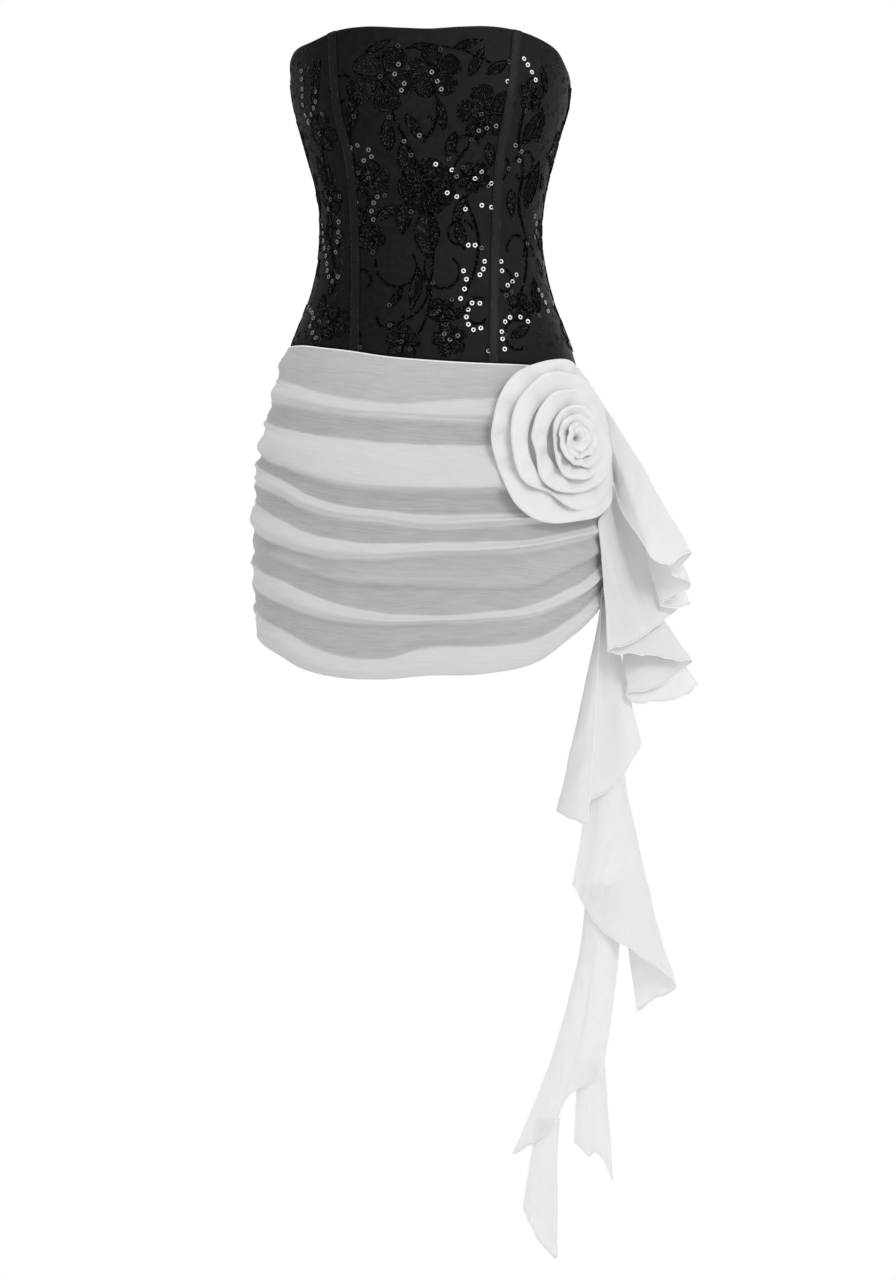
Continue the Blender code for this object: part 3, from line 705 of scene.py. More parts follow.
def sheet(name, grid, material, closed=False, wall=0.6, side=0.0, marks=None, hub=None):
    """Cloth through rows of points, with its flat cut as a UV map, given a thin wall."""
    rows, columns = grid.shape[:2]
    points = (grid * MM).reshape(-1, 3)
    if hub is not None:
        points = np.concatenate([points, (hub * MM)[None]])
    many = columns if closed else columns - 1
    i, j = np.meshgrid(np.arange(rows - 1), np.arange(many), indexing="ij")
    after = (j + 1) % columns
    corners = np.stack(
        [i * columns + j, (i + 1) * columns + j, (i + 1) * columns + after, i * columns + after], -1
    ).reshape(-1, 4)
    faces = corners.tolist()
    if hub is not None:
        faces += [(rows * columns, k, (k + 1) % columns) for k in range(columns)]
    mesh = bpy.data.meshes.new(name)
    mesh.from_pydata(points.tolist(), [], faces)
    mesh.shade_smooth()

    wrapped = np.concatenate([grid, grid[:, :1]], 1) if closed else grid
    across = np.linalg.norm(np.diff(wrapped[rows // 2], axis=0), axis=1)
    across = np.concatenate(([0.0], np.cumsum(across)))
    down = np.linalg.norm(np.diff(grid, axis=0), axis=2)
    down = np.concatenate([np.zeros((1, columns)), np.cumsum(down, 0)], 0)
    down = np.concatenate([down, down[:, :1]], 1) if closed else down
    layer = mesh.uv_layers.new(name="cut")
    spots = np.stack(
        [
            np.stack([across[j], down[i, j]], -1),
            np.stack([across[j], down[i + 1, j]], -1),
            np.stack([across[j + 1], down[i + 1, j + 1]], -1),
            np.stack([across[j + 1], down[i, j + 1]], -1),
        ],
        -2,
    ).reshape(-1, 2) * MM
    if hub is not None:
        spots = np.concatenate([spots, np.zeros((3 * columns, 2))])
    layer.uv.foreach_set("vector", spots.astype(np.float32).ravel())
    for mark, values in (marks or {}).items():
        given = mesh.attributes.new(mark, "FLOAT", "POINT")
        given.data.foreach_set("value", np.asarray(values, np.float32).ravel())
    obj = new_object(name, mesh, material)
    if wall:
        solid = obj.modifiers.new("wall", "SOLIDIFY")
        solid.thickness = wall * MM
        solid.offset = side
        solid.use_even_offset = False
    diagonals = grid_diagonals(wrapped)
    widest = np.linalg.norm(np.diff(wrapped, axis=1), axis=2).sum(1).max()
    obj["cut_size"] = (float(widest) * MM, float(down[-1].max()) * MM, diagonals * MM * MM)
    return obj


def wired(name, given, made, kinds, settings, links):
    """A tree of geometry nodes: its inputs, its nodes, their settings and their links."""
    tree = bpy.data.node_groups.new(name, "GeometryNodeTree")
    for key, kind in given.items():
        tree.interface.new_socket(key, in_out="INPUT", socket_type="NodeSocket" + kind)
    tree.interface.new_socket(made, in_out="OUTPUT", socket_type="NodeSocketGeometry")
    nodes = {key: tree.nodes.new(kind) for key, kind in kinds.items()}
    for key, values in settings.items():
        for what, value in values.items():
            if isinstance(what, str) and what[0].islower():
                setattr(nodes[key], what, value)
            else:
                nodes[key].inputs[what].default_value = value
    for source, out, target, into in links:
        tree.links.new(nodes[source].outputs[out], nodes[target].inputs[into])
    return tree


# Round cords of one thickness along every line of a mesh.
CORDS = wired(
    "cords_along_lines",
    {"Lines": "Geometry", "Thickness": "Float", "Sides": "Int", "Finish": "Material"},
    "Cords",
    {
        "given": "NodeGroupInput", "curve": "GeometryNodeMeshToCurve",
        "ring": "GeometryNodeCurvePrimitiveCircle", "half": "ShaderNodeMath",
        "tube": "GeometryNodeCurveToMesh", "real": "GeometryNodeRealizeInstances",
        "finish": "GeometryNodeSetMaterial", "done": "NodeGroupOutput",
    },
    {"half": {"operation": "MULTIPLY", 1: 0.5}, "tube": {"Fill Caps": True}},
    (
        ("given", "Lines", "curve", "Mesh"), ("given", "Sides", "ring", "Resolution"),
        ("given", "Thickness", "half", 0), ("half", 0, "ring", "Radius"),
        ("curve", 0, "tube", "Curve"), ("ring", 0, "tube", "Profile Curve"),
        ("tube", 0, "real", 0), ("real", 0, "finish", "Geometry"),
        ("given", "Finish", "finish", "Material"), ("finish", 0, "done", 0),
    ),
)
# Small rings on points, each turned to its facing and leant by its own tilt.
SEQUINS = wired(
    "sequins_on_points",
    {
        "Points": "Geometry", "Across": "Float", "Hole": "Float", "Lean": "Float",
        "Seed": "Int", "Finish": "Material",
    },
    "Sequins",
    {
        "given": "NodeGroupInput", "done": "NodeGroupOutput", "middle": "ShaderNodeMath",
        "half": "ShaderNodeMath", "band": "ShaderNodeMath", "width": "ShaderNodeMath",
        "path": "GeometryNodeCurvePrimitiveCircle",
        "section": "GeometryNodeCurvePrimitiveQuadrilateral",
        "ring": "GeometryNodeCurveToMesh", "facing": "GeometryNodeInputNamedAttribute",
        "align": "FunctionNodeAlignRotationToVector", "least": "ShaderNodeMath",
        "low": "ShaderNodeCombineXYZ", "high": "ShaderNodeCombineXYZ",
        "chance": "FunctionNodeRandomValue", "tilt": "FunctionNodeEulerToRotation",
        "turn": "FunctionNodeRotateRotation", "copies": "GeometryNodeInstanceOnPoints",
        "real": "GeometryNodeRealizeInstances", "finish": "GeometryNodeSetMaterial",
    },
    {
        "middle": {"operation": "ADD"}, "half": {"operation": "MULTIPLY", 1: 0.25},
        "band": {"operation": "SUBTRACT"}, "width": {"operation": "MULTIPLY", 1: 0.5},
        "least": {"operation": "MULTIPLY", 1: -1.0}, "path": {"Resolution": 12},
        "section": {"Height": 0.28 * MM}, "align": {"axis": "Z"},
        "facing": {"data_type": "FLOAT_VECTOR", "Name": "facing"},
        "chance": {"data_type": "FLOAT_VECTOR"}, "turn": {"rotation_space": "LOCAL"},
    },
    (
        ("given", "Across", "middle", 0), ("given", "Hole", "middle", 1),
        ("middle", 0, "half", 0), ("half", 0, "path", "Radius"),
        ("given", "Across", "band", 0), ("given", "Hole", "band", 1),
        ("band", 0, "width", 0), ("width", 0, "section", "Width"),
        ("path", 0, "ring", "Curve"), ("section", 0, "ring", "Profile Curve"),
        ("facing", 0, "align", "Vector"), ("given", "Lean", "least", 0),
        ("least", 0, "low", 0), ("least", 0, "low", 1),
        ("given", "Lean", "high", 0), ("given", "Lean", "high", 1),
        ("low", 0, "chance", "Min"), ("high", 0, "chance", "Max"),
        ("given", "Seed", "chance", "Seed"), ("chance", "Value", "tilt", 0),
        ("align", 0, "turn", "Rotation"), ("tilt", 0, "turn", "Rotate By"),
        ("given", "Points", "copies", "Points"), ("ring", 0, "copies", "Instance"),
        ("turn", 0, "copies", "Rotation"), ("copies", 0, "real", 0),
        ("real", 0, "finish", "Geometry"), ("given", "Finish", "finish", "Material"),
        ("finish", 0, "done", 0),
    ),
)


def grown(name, source, tree, values, material):
    """The plain mesh that a tree makes from a source mesh."""
    holder = bpy.data.objects.new(name + "_source", source)
    bpy.context.scene.collection.objects.link(holder)
    step = holder.modifiers.new("grow", "NODES")
    step.node_group = tree
    for item in tree.interface.items_tree:
        if item.in_out == "INPUT" and item.name in values:
            step[item.identifier] = values[item.name]
    graph = bpy.context.evaluated_depsgraph_get()
    mesh = bpy.data.meshes.new_from_object(holder.evaluated_get(graph))
    bpy.data.objects.remove(holder, do_unlink=True)
    bpy.data.meshes.remove(source)
    mesh.name = name
    mesh.materials.clear()
    obj = new_object(name, mesh, material)
    mesh.shade_smooth()
    return obj


def cords(name, lines, thickness, material, sides=6, loops=()):
    """Tubes along open lines of points and along closed loops."""
    points, edges = [], []
    for closed, group in ((False, lines), (True, loops)):
        for line in group:
            first = len(points)
            points += (np.asarray(line) * MM).tolist()
            edges += [(k, k + 1) for k in range(first, len(points) - 1)]
            if closed:
                edges.append((len(points) - 1, first))
    source = bpy.data.meshes.new(name)
    source.from_pydata(points, edges, [])
    values = {"Thickness": thickness * MM, "Sides": sides, "Finish": material}
    return grown(name, source, CORDS, values, material)


def lengths_along(points):
    """How far each point of a line lies from its start."""
    steps = np.linalg.norm(np.diff(points, axis=0), axis=1)
    return np.concatenate(([0.0], np.cumsum(steps)))


def points_at(line, along, at):
    """The points of a line at lengths along it."""
    return np.stack([np.interp(at, along, column) for column in line.T], -1)


def dashes(line, length, gap):
    """Short stitches along a line of points."""
    along = lengths_along(line)
    starts = np.arange(gap, along[-1] - length, length + gap)
    middle_and_ends = np.array([0.0, 0.5, 1.0]) * length
    return [points_at(line, along, start + middle_and_ends) for start in starts]


def on_dress(obj, slot, *nodes):
    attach(obj, "dress")
    if nodes:
        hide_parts(*nodes)
    return obj


def declare(obj, rests_on, wider=1.0, longer=1.0):
    """Works out the piece's cut size, this much fuller than it lies, and does nothing more with it.
    """
    width, length, area = obj["cut_size"]
    width, length, area = width * wider, length * longer, area * wider * longer
    area = min(max(area, 0.31 * width * length), width * length)


# ------------------------------------------------------------------ corset
FRONT_LEFT = moved(princess, -GAP)
PANELS = [
    ("bodice_front", moved(mirrored(princess, -1), GAP), FRONT_LEFT, 64, 84),
]
for side_name, way in (("left", 1), ("right", -1)):
    seams = (
        (moved(princess, GAP + 0.1), moved(level(90), 0.03), "bodice_side_front_", 36),
        (moved(level(90), -0.03), moved(level(BACK_SEAM), 0.03), "bodice_side_back_", 32),
        (moved(level(BACK_SEAM), -0.03), moved(level(180), -ZIP_SLOT), "bodice_back_", 26),
    )
    for near, far, name, columns in seams:
        first, last = (near, far) if way > 0 else (mirrored(far, -1), mirrored(near, -1))
        PANELS.append((name + side_name, first, last, columns, 72))


def corset_soft(angle, height):
    """How the corset's cloth strays from the form, in millimetres."""
    return uneven(angle / 9, height / 34, 3) * 0.35 + uneven(angle / 4, height / 13, 4) * 0.12


for name, first, last, columns, rows in PANELS:
    angle, height = patch_places(first, last, columns, rows)
    spots = place(angle, height, corset_soft(angle, height))
    # Painted light: the cloth's colour is marked lighter towards +X, where the key lamp stands.
    painted_light = np.clip((spots[..., 0] + 88) / 120, 0, 1)
    panel = sheet(name + "_cloth", spots, CORSET, wall=1.8, side=-1.0, marks={"painted_light": painted_light})
    on_dress(panel, "corset", name)
    declare(panel, ["zip_tape_cloth"])

for side_name, way in (("left", 1), ("right", -1)):
    seam = mirrored(princess, way)
    angle, height = patch_places(
        moved(seam, -CHANNEL_WIDTH / 2), moved(seam, CHANNEL_WIDTH / 2), 13, 120
    )
    across = np.linspace(-1, 1, 13)[None, :]
    crown = CHANNEL_OUT - 0.9 * np.abs(across) ** 4 + 0 * angle
    # Painted light: the channel on the wearer's left, towards the key lamp, is marked lighter than
    # the other.
    painted_light = 0 * angle + (1.0 if way > 0 else 0.1)
    band = sheet(
        "channel_band_" + side_name, place(angle, height, crown), CHANNEL,
        wall=1.2, side=-1.0, marks={"painted_light": painted_light},
    )
    on_dress(band, "channel", "channel_" + side_name)
    declare(band, ["bodice_front_cloth"])
    rows_of_stitch = []
    for column in (2, 10):
        sewn = place(angle[:, column], height[:, column], crown[:, column] + 0.12)
        rows_of_stitch += dashes(sewn, 2.3, 0.8)
    stitched = cords("channel_stitches_" + side_name, rows_of_stitch, 0.42, THREAD, 5)
    on_dress(stitched, "channel")

# ------------------------------------------------------------------ embroidery
# Seen from the front: across, height, size, petals, spin.
FLOWERS = (
    (-50, 155, 31, 5, 24), (3, 162, 25, 5, 66), (58, 120, 26, 5, 130), (-4, 42, 27, 7, 10),
    (12, -88, 13, 5, 40), (-29, -121, 16, 5, 5), (19, -118, 16, 5, 60), (-63, 50, 18, 6, 15),
    (94, -84, 14, 5, 20), (106, 138, 16, 5, 75), (-114, 100, 18, 5, 30), (-102, -100, 16, 5, 55),
    (-104, 30, 14, 5, 10), (44, 52, 15, 5, 35), (-62, -12, 13, 5, 25),
)
# Across, height of the stem's end, length, width, way it points, hatched.
LEAVES = (
    (-44, 79, 37, 13, 4, 1), (-81, 104, 32, 12, 6, 0), (-22, 50, 40, 16, 352, 1),
    (-26, 118, 34, 11, 150, 1), (8, 132, 34, 10, 168, 1), (26, 100, 30, 11, 196, 1),
    (-28, 26, 34, 16, 184, 1), (-5, 18, 52, 27, 178, 1), (38, 34, 34, 11, 204, 1),
    (40, 158, 36, 10, 30, 1), (58, 160, 28, 10, 60, 1), (-60, 62, 22, 9, 236, 1),
    (-36, 22, 28, 10, 238, 1), (-72, 20, 26, 9, 196, 1), (-68, 184, 28, 8, 64, 0),
    (-20, 190, 32, 8, 96, 0), (24, 188, 30, 8, 74, 0), (60, 88, 26, 10, 160, 1),
    (-4, -90, 29, 18, 90, 1), (36, -84, 22, 9, 230, 0), (-30, -64, 24, 8, 210, 0),
    (96, 86, 40, 18, 20, 0), (110, 88, 38, 13, 352, 0), (100, 20, 50, 18, 6, 0),
    (84, 40, 30, 10, 170, 1), (108, -54, 38, 13, 190, 0), (84, -116, 26, 10, 60, 1),
    (-120, 74, 36, 11, 168, 1), (-108, 66, 36, 11, 200, 1), (-124, 128, 32, 10, 20, 1),
    (-106, 14, 36, 11, 186, 1), (-98, -40, 32, 10, 190, 1), (-112, -70, 32, 10, 172, 1),
    (-116, 176, 28, 9, 196, 0), (116, 168, 28, 9, 170, 0), (-84, -100, 28, 10, 150, 0),
    (-128, 40, 30, 9, 190, 1), (-122, 6, 26, 8, 176, 1), (28, 6, 30, 11, 168, 1),
    (-12, -44, 44, 12, 190, 0), (-74, 146, 30, 11, 200, 1),
)
# Across, height, half size, start, sweep: curled braid.
SCROLLS = (
    (-32, -36, 25, 175, 215), (14, -42, 21, 165, 240), (-46, -88, 18, 350, -150),
    (50, -90, 14, 60, 260), (92, -116, 16, 70, 230), (-72, -58, 13, 200, -240),
    (92, -24, 15, 185, -190), (104, -30, 11, 185, -190), (-94, 142, 15, 60, 240),
    (-104, -16, 15, 150, -260), (36, 82, 13, 20, 240), (-6, 108, 12, 200, 230),
    (68, 62, 15, 250, 230), (-52, 4, 14, 30, 220), (74, -56, 12, 60, -240),
    (96, 62, 15, 160, -300), (30, -8, 14, 20, 260),
)
# Stems, as across and height.
STEMS = (
    ((-50, 150), (-42, 122), (-28, 94), (-12, 62), (2, 34), (0, -8)),
    ((-14, -42), (-4, -61), (-7, -80), (-24, -96), (-47, -101)),
    ((0, -8), (2, -30), (0, -60), (-2, -84), (-12, -112)),
    ((52, 118), (42, 90), (26, 66), (16, 44)), ((2, 150), (8, 128), (4, 108), (-8, 88)),
    ((-84, 116), (-84, 84), (-76, 56), (-66, 30), (-70, 2)),
    ((98, 130), (92, 96), (96, 60), (92, 22), (100, -16), (98, -54), (88, -84)),
    ((-116, 100), (-112, 70), (-106, 34), (-108, 0), (-102, -36), (-104, -70)),
    ((34, 34), (44, 10), (50, -14), (46, -44), (36, -70)),
    ((-60, 176), (-30, 186), (4, 190), (36, 184), (62, 172)),
)
# Chains of sequins as across and height, with the strength of the glints painted into their colour.
SEQUIN_CHAINS = (
    (1.0, ((97, 176), (103, 166), (109, 154))), (0.8, ((80, 152),)),
    (1.0, ((5, 66),)), (1.0, ((22, 60),)), (0.35, ((27, 53),)), (1.0, ((17, 36), (27, 32))),
    (0.9, ((36, 19),)),
    (0.9, ((46, 51),)), (0.7, ((53, 58),)), (0.8, ((63, 46),)), (0.3, ((60, 43),)),
    (1.0, ((53, 23), (63, 21))),
    (1.0, ((39, -19), (46, -19))), (0.3, ((53, -22),)), (1.0, ((56, -36), (55, -43), (51, -50))),
    (0.9, ((73, -36), (75, -44), (67, -53))), (1.0, ((34, -46), (37, -55), (35, -65), (31, -75))),
    (1.0, ((51, -80), (44, -79), (39, -86), (37, -94), (39, -102), (45, -108), (52, -106))),
    (1.0, ((101, -99), (92, -94), (84, -94), (77, -100), (74, -109), (75, -119), (77, -128))),
    (0.8, ((80, -61), (86, -56), (89, -50))), (0.5, ((60, -130), (64, -124))),
    (0.35, ((-34, 170), (-38, 160))), (0.4, ((-28, 150), (-31, 143))),
    (0.45, ((1, 162), (8, 150), (11, 144))), (0.35, ((50, 101), (60, 104), (68, 106))),
    (0.35, ((-84, 84), (-76, 86), (-66, 82), (-62, 74), (-70, 70))),
    (0.3, ((-85, 58), (-81, 51), (-80, 43))),
    (0.25, ((-135, 164), (-134, 146), (-133, 126), (-128, 110))),
    (0.25, ((-120, 142), (-121, 128), (-127, 112))),
    (0.3, ((-113, 2), (-112, -14), (-109, -32), (-107, -50), (-102, -57), (-97, -52))),
    (0.3, ((-96, 6), (-97, -10), (-99, -26))),
    (0.3, ((-128, -84), (-122, -92), (-126, -104), (-120, -116))),
    (0.4, ((-12, 96),)), (0.3, ((-28, 90),)), (0.3, ((-78, 26),)),
    (0.35, ((88, 86), (94, 80), (92, 70))),
    (0.5, ((112, -66), (118, -76), (122, -88))), (0.3, ((14, -112), (20, -118), (28, -114))),
    (0.3, ((108, 12), (110, 0), (108, -10))), (0.3, ((-56, 32), (-62, 20), (-60, 8))),
)
# One degree round the corset is about this long, and one unit of height is itself.
FLAT = (2.1, 1.0)
SEQUIN_ACROSS, SEQUIN_HOLE, SEQUIN_STEP = 5.1, 2.4, 8.7
# The lines and places that are sewn on, as angles and heights.
THREADS, STROKES, BRAIDS, FILLS, SPANGLES = [], [], [], [], []

# The sprays at the sides: angle and height, then size, petals and spin, or length, width and way.
SIDE_STEM = ((96, -130), (90, -90), (97, -50), (88, -10), (94, 30), (86, 72), (92, 112), (84, 150))
SIDE_FLOWERS = (
    (90, -112, 15, 5, 10), (99, -58, 17, 6, 40), (84, -8, 15, 5, 65), (98, 38, 16, 6, 15),
    (84, 84, 18, 5, 30), (96, 124, 14, 5, 50), (112, 70, 13, 5, 0), (110, -20, 14, 5, 35),
)
SIDE_LEAVES = (
    (91, -92, 20, 8, -55), (95, -74, 22, 9, 60), (91, -34, 20, 8, -50), (89, 8, 22, 9, 55),
    (92, 26, 20, 8, -60), (88, 56, 22, 9, 50), (90, 98, 20, 8, -45), (88, 134, 18, 8, 40),
    (104, -100, 18, 7, 30), (104, 4, 18, 7, 20), (106, 96, 18, 7, 25), (78, -50, 18, 7, -20),
    (77, 40, 18, 7, -25),
)


def on_cloth(base, local):
    """Local millimetres (right, up) round a base place as angles and heights."""
    angle, height = base
    far = float(radius(angle, height))
    local = np.asarray(local, float)
    return np.stack([angle + np.degrees(local[:, 0] / far), height + local[:, 1]], -1)


def kept(line):
    """The runs of a line of angles and heights that lie on the bodice."""
    angle, height = line[:, 0], line[:, 1]
    fine = (height < neckline(angle) - 3.5) & (height > waistband(angle) + 1.5)
    fine &= np.abs(turned(angle - 180)) > 6
    runs, run = [], []
    for good, point in zip(fine, line):
        if good:
            run.append(point)
        elif run:
            runs.append(run)
            run = []
    runs.append(run)
    return [np.array(run) for run in runs if len(run) > 1]


def spun(local, way):
    way = math.radians(way)
    local = np.asarray(local, float)
    x = local[:, 0] * math.cos(way) + local[:, 1] * math.sin(way)
    y = -local[:, 0] * math.sin(way) + local[:, 1] * math.cos(way)
    return np.stack([x, y], -1)


def sew(lines, base, local, way=0.0):
    """A line round a base place, turned by a way, kept where it lies on the bodice."""
    lines.extend(kept(on_cloth(base, spun(local, way))))


def round_petal(length, width):
    """A broad petal: an egg with its narrow end at the root."""
    turn = np.radians(np.linspace(0, 360, 23))
    along = (1 - np.cos(turn)) / 2
    return np.stack([width / 2 * np.sin(turn) * (0.4 + 0.75 * along), length * along], -1)


def petal_outline(length, width, blunt):
    t = np.linspace(0, 1, 15)
    half = width / 2 * np.sin(np.pi * t**blunt)
    side = np.stack([half, length * t], -1)
    other = np.stack([-half, length * t], -1)[::-1]
    return np.concatenate([side, other[1:]])


def flower(base, size, petals, spin):
    for k in range(petals):
        way = spin + 360.0 * k / petals
        root = np.array([0.0, size * 0.2])
        outline = round_petal(size * 0.86, size * 0.95) + root
        sew(BRAIDS, base, outline * 1.05, way)
        FILLS.append(on_cloth(base, spun(outline, way)))
        sew(THREADS, base, outline, way)
        for j in range(-5, 6):
            t = np.linspace(0.10, 0.93 - 0.012 * j * j, 4)
            lean = j / 5.6 * size * 0.5 * np.sqrt(t * (1.04 - t)) * 2 * (0.4 + 0.65 * t)
            ray = np.stack([lean, size * 0.86 * t], -1) + root
            sew(THREADS, base, ray, way)
    turn = np.radians(np.linspace(0, 360, 11))
    for far in (0.16, 0.09):
        eye = np.stack([np.cos(turn), np.sin(turn)], -1) * size * far
        sew(BRAIDS, base, eye)


def leaf(base, length, width, way, hatched):
    outline = petal_outline(length, width, 0.85)
    sew(BRAIDS, base, outline, way)
    FILLS.append(on_cloth(base, spun(outline, way)))
    sew(THREADS, base, outline * (0.66, 0.86) + (0, length * 0.05), way)
    rib = np.stack([np.zeros(8), np.linspace(0, length * 0.9, 8)], -1)
    sew(THREADS, base, rib, way)
    if not hatched:
        return
    for t in np.arange(0.12, 0.84, 1.5 / length):
        half = width / 2 * math.sin(math.pi * (t + 0.07) ** 0.85) * 0.86
        for side in (-1, 1):
            line = np.array([[0.0, t], [side * half * 0.55, t + 0.06], [side * half, t + 0.09]])
            sew(THREADS, base, line * (1, length), way)


def braid(line):
    """Two strands that cross over each other along a line of angles and heights."""
    along = lengths_along(line * FLAT)
    at = np.arange(0, along[-1], 0.9)
    spots = points_at(line, along, at)
    way = np.gradient(spots * FLAT, axis=0)
    way /= np.maximum(np.linalg.norm(way, axis=1, keepdims=True), 1e-9)
    side = np.stack([-way[:, 1] / FLAT[0], way[:, 0]], -1)
    for phase in (0.0, math.pi):
        swing = 0.85 * np.sin(at * math.tau / 3.6 + phase)[:, None]
        BRAIDS.extend(kept(spots + side * swing))


def curve(points, step=1.2):
    """A smooth line through places on the cloth, evenly stepped."""
    table = np.array(points, float)
    reach = np.linalg.norm(np.diff(table * FLAT, axis=0), axis=1).sum()
    return between(table, np.linspace(0, 1, max(3, int(reach / step))))


def seen_places(points):
    points = np.array(points, float)
    return np.stack([seen_angle(points[:, 0], points[:, 1]), points[:, 1]], -1)


def embroider():
    """The motifs as seen from the front, and again, turned round, at the back."""
    for behind in (False, True):

        def there(points):
            found = seen_places(points)
            return found * (-1, 1) + (180, -20) if behind else found

        for across, height, size, petals, spin in FLOWERS:
            flower(there([(across, height)])[0], size, petals, -spin if behind else spin)
        for across, height, length, width, way, hatched in LEAVES:
            leaf(there([(across, height)])[0], length, width, -way if behind else way, hatched)
        for across, height, half, start, sweep in SCROLLS:
            t = np.linspace(0, 1, 50)
            turn = np.radians(start + sweep * t)
            size = half * (1 - 0.45 * t**2)
            local = np.stack([size * np.cos(turn), size * np.sin(turn) * 1.15], -1)
            base = there([(across, height)])[0]
            braid(on_cloth(base, local * (-1, 1) if behind else local))
        for stem in STEMS:
            line = curve(there(stem))
            for off in (-0.45, 0.45):
                BRAIDS.extend(kept(line + (off, 0)))
        for painted_highlight_level, chain in SEQUIN_CHAINS:
            spots = there(chain)
            if len(spots) > 1:
                line = curve(spots, 0.4)
                along = lengths_along(line * FLAT)
                count = max(2, int(along[-1] / SEQUIN_STEP + 0.3) + 1)
                at = np.linspace(0, along[-1], count)
                at[1:-1] += 1.1 * np.sin(at[1:-1] * 2.3 + along[-1])
                spots = points_at(line, along, at)
            fine = spots[:, 1] < neckline(spots[:, 0]) - 5
            fine &= spots[:, 1] > waistband(spots[:, 0]) + 4
            for angle, height in spots[fine]:
                # Sequins at the back get weaker painted glints.
                SPANGLES.append((angle, height, painted_highlight_level * (0.45 if behind else 1.0)))
    # A plain spray up each side, which the photo hides.
    for side in (-1, 1):
        stem = curve([(side * angle, height) for angle, height in SIDE_STEM])
        for off in (-0.45, 0.45):
            BRAIDS.extend(kept(stem + (off, 0)))
        for angle, height, size, petals, spin in SIDE_FLOWERS:
            flower((side * angle, height), size, petals, side * spin)
        for angle, height, length, width, way in SIDE_LEAVES:
            leaf((side * angle, height), length, width, side * way, True)
    # Short slanting strokes fill the sides between the motifs.
    strokes = np.random.default_rng(21)
    for k in range(520):
        side = 1 if k % 3 else -1
        angle = side * (strokes.uniform(-84, -52) if side > 0 else strokes.uniform(-84, -58))
        base = (angle, strokes.uniform(-128, 190))
        long = strokes.uniform(3.0, 7.5)
        lean = strokes.uniform(-0.5, 0.5)
        sew(STROKES, base, [(0, 0), (lean * long / 2, long / 2), (lean * long, long)])
    # Dark sequins in the flowers and along the stems, all the way round, with faint random painted
    # glints.
    chance = np.random.default_rng(8)
    for group in BRAIDS[::5]:
        angle, height = group[len(group) // 2]
        if height < neckline(angle) - 6 and height > waistband(angle) + 5:
            near = (angle + chance.uniform(-1.6, 1.6), height + chance.uniform(-3, 3))
            SPANGLES.append((*near, float(chance.uniform(0, 0.16))))


# ------------------------------------------------------------------ zip
rows = 90
down = np.linspace(0, 1, rows)
zip_heights = (neckline(180) - 1.0) * (1 - down) + (waistband(180) + 1.0) * down
spread = np.linspace(-11, 11, 12)
turn = 180 - np.degrees(spread[None, :] / radius(180, zip_heights)[:, None])
tape_grid = place(turn[:, ::-1], zip_heights[:, None] + 0 * turn, -3.4 + 0 * turn)
tape = sheet("zip_tape_cloth", tape_grid, TAPE, wall=0.9)
on_dress(tape, "tape", "zip_tape")
declare(tape, ["bodice_back_left_cloth"])
teeth = []
tooth_heights = np.arange(zip_heights[-1] + 2, zip_heights[0] - 2, 1.5)
for k, height in enumerate(tooth_heights):
    near = -0.25 if k % 2 else 0.25
    ends = 180 - np.degrees((np.array([-0.75, 0.75]) + near) / radius(180, height))
    teeth.append(place(ends, height, -1.6))
on_dress(cords("zip_teeth", teeth, 1.05, METAL, 6), "metal")
for name in ("zip_slider", "zip_tab"):
    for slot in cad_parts[name].material_slots:
        slot.material = METAL

embroider()


def is_front(line):
    return abs(float(turned(line[len(line) // 2][0]))) < 88


def stitched_over(name, outlines):
    """Thin pads of close stitches that fill the outlines, each a fan of rings."""
    points, faces = [], []
    for k, outline in enumerate(outlines):
        outline = np.asarray(outline)
        middle = outline.mean(0)
        rings = [middle + (outline - middle) * share for share in (1.0, 0.68, 0.36)]
        spots = np.concatenate([*rings, middle[None]])
        # No pad reaches over the zip, the neck edge or the skirt.
        side = 1.0 if turned(middle[0] - 180) > 0 else -1.0
        angle = 180 + side * np.maximum(side * turned(spots[:, 0] - 180), 5.6)
        height = np.clip(spots[:, 1], waistband(angle) + 1.0, neckline(angle) - 3.0)
        # Pads that overlap lie at slightly different depths.
        out = corset_soft(angle, height) + 0.22 + 0.01 * (k % 7)
        first, count = len(points), len(outline)
        points += (place(angle, height, out) * MM).tolist()
        for ring in (0, 1):
            for j in range(count):
                near, far = first + ring * count, first + (ring + 1) * count
                after = (j + 1) % count
                faces.append((near + j, near + after, far + after, far + j))
        inner = first + 2 * count
        faces += [(inner + j, inner + (j + 1) % count, first + 3 * count) for j in range(count)]
    mesh = bpy.data.meshes.new(name)
    mesh.from_pydata(points, [], faces)
    mesh.validate()
    mesh.shade_smooth()
    return on_dress(new_object(name, mesh, PADDING), "corset")


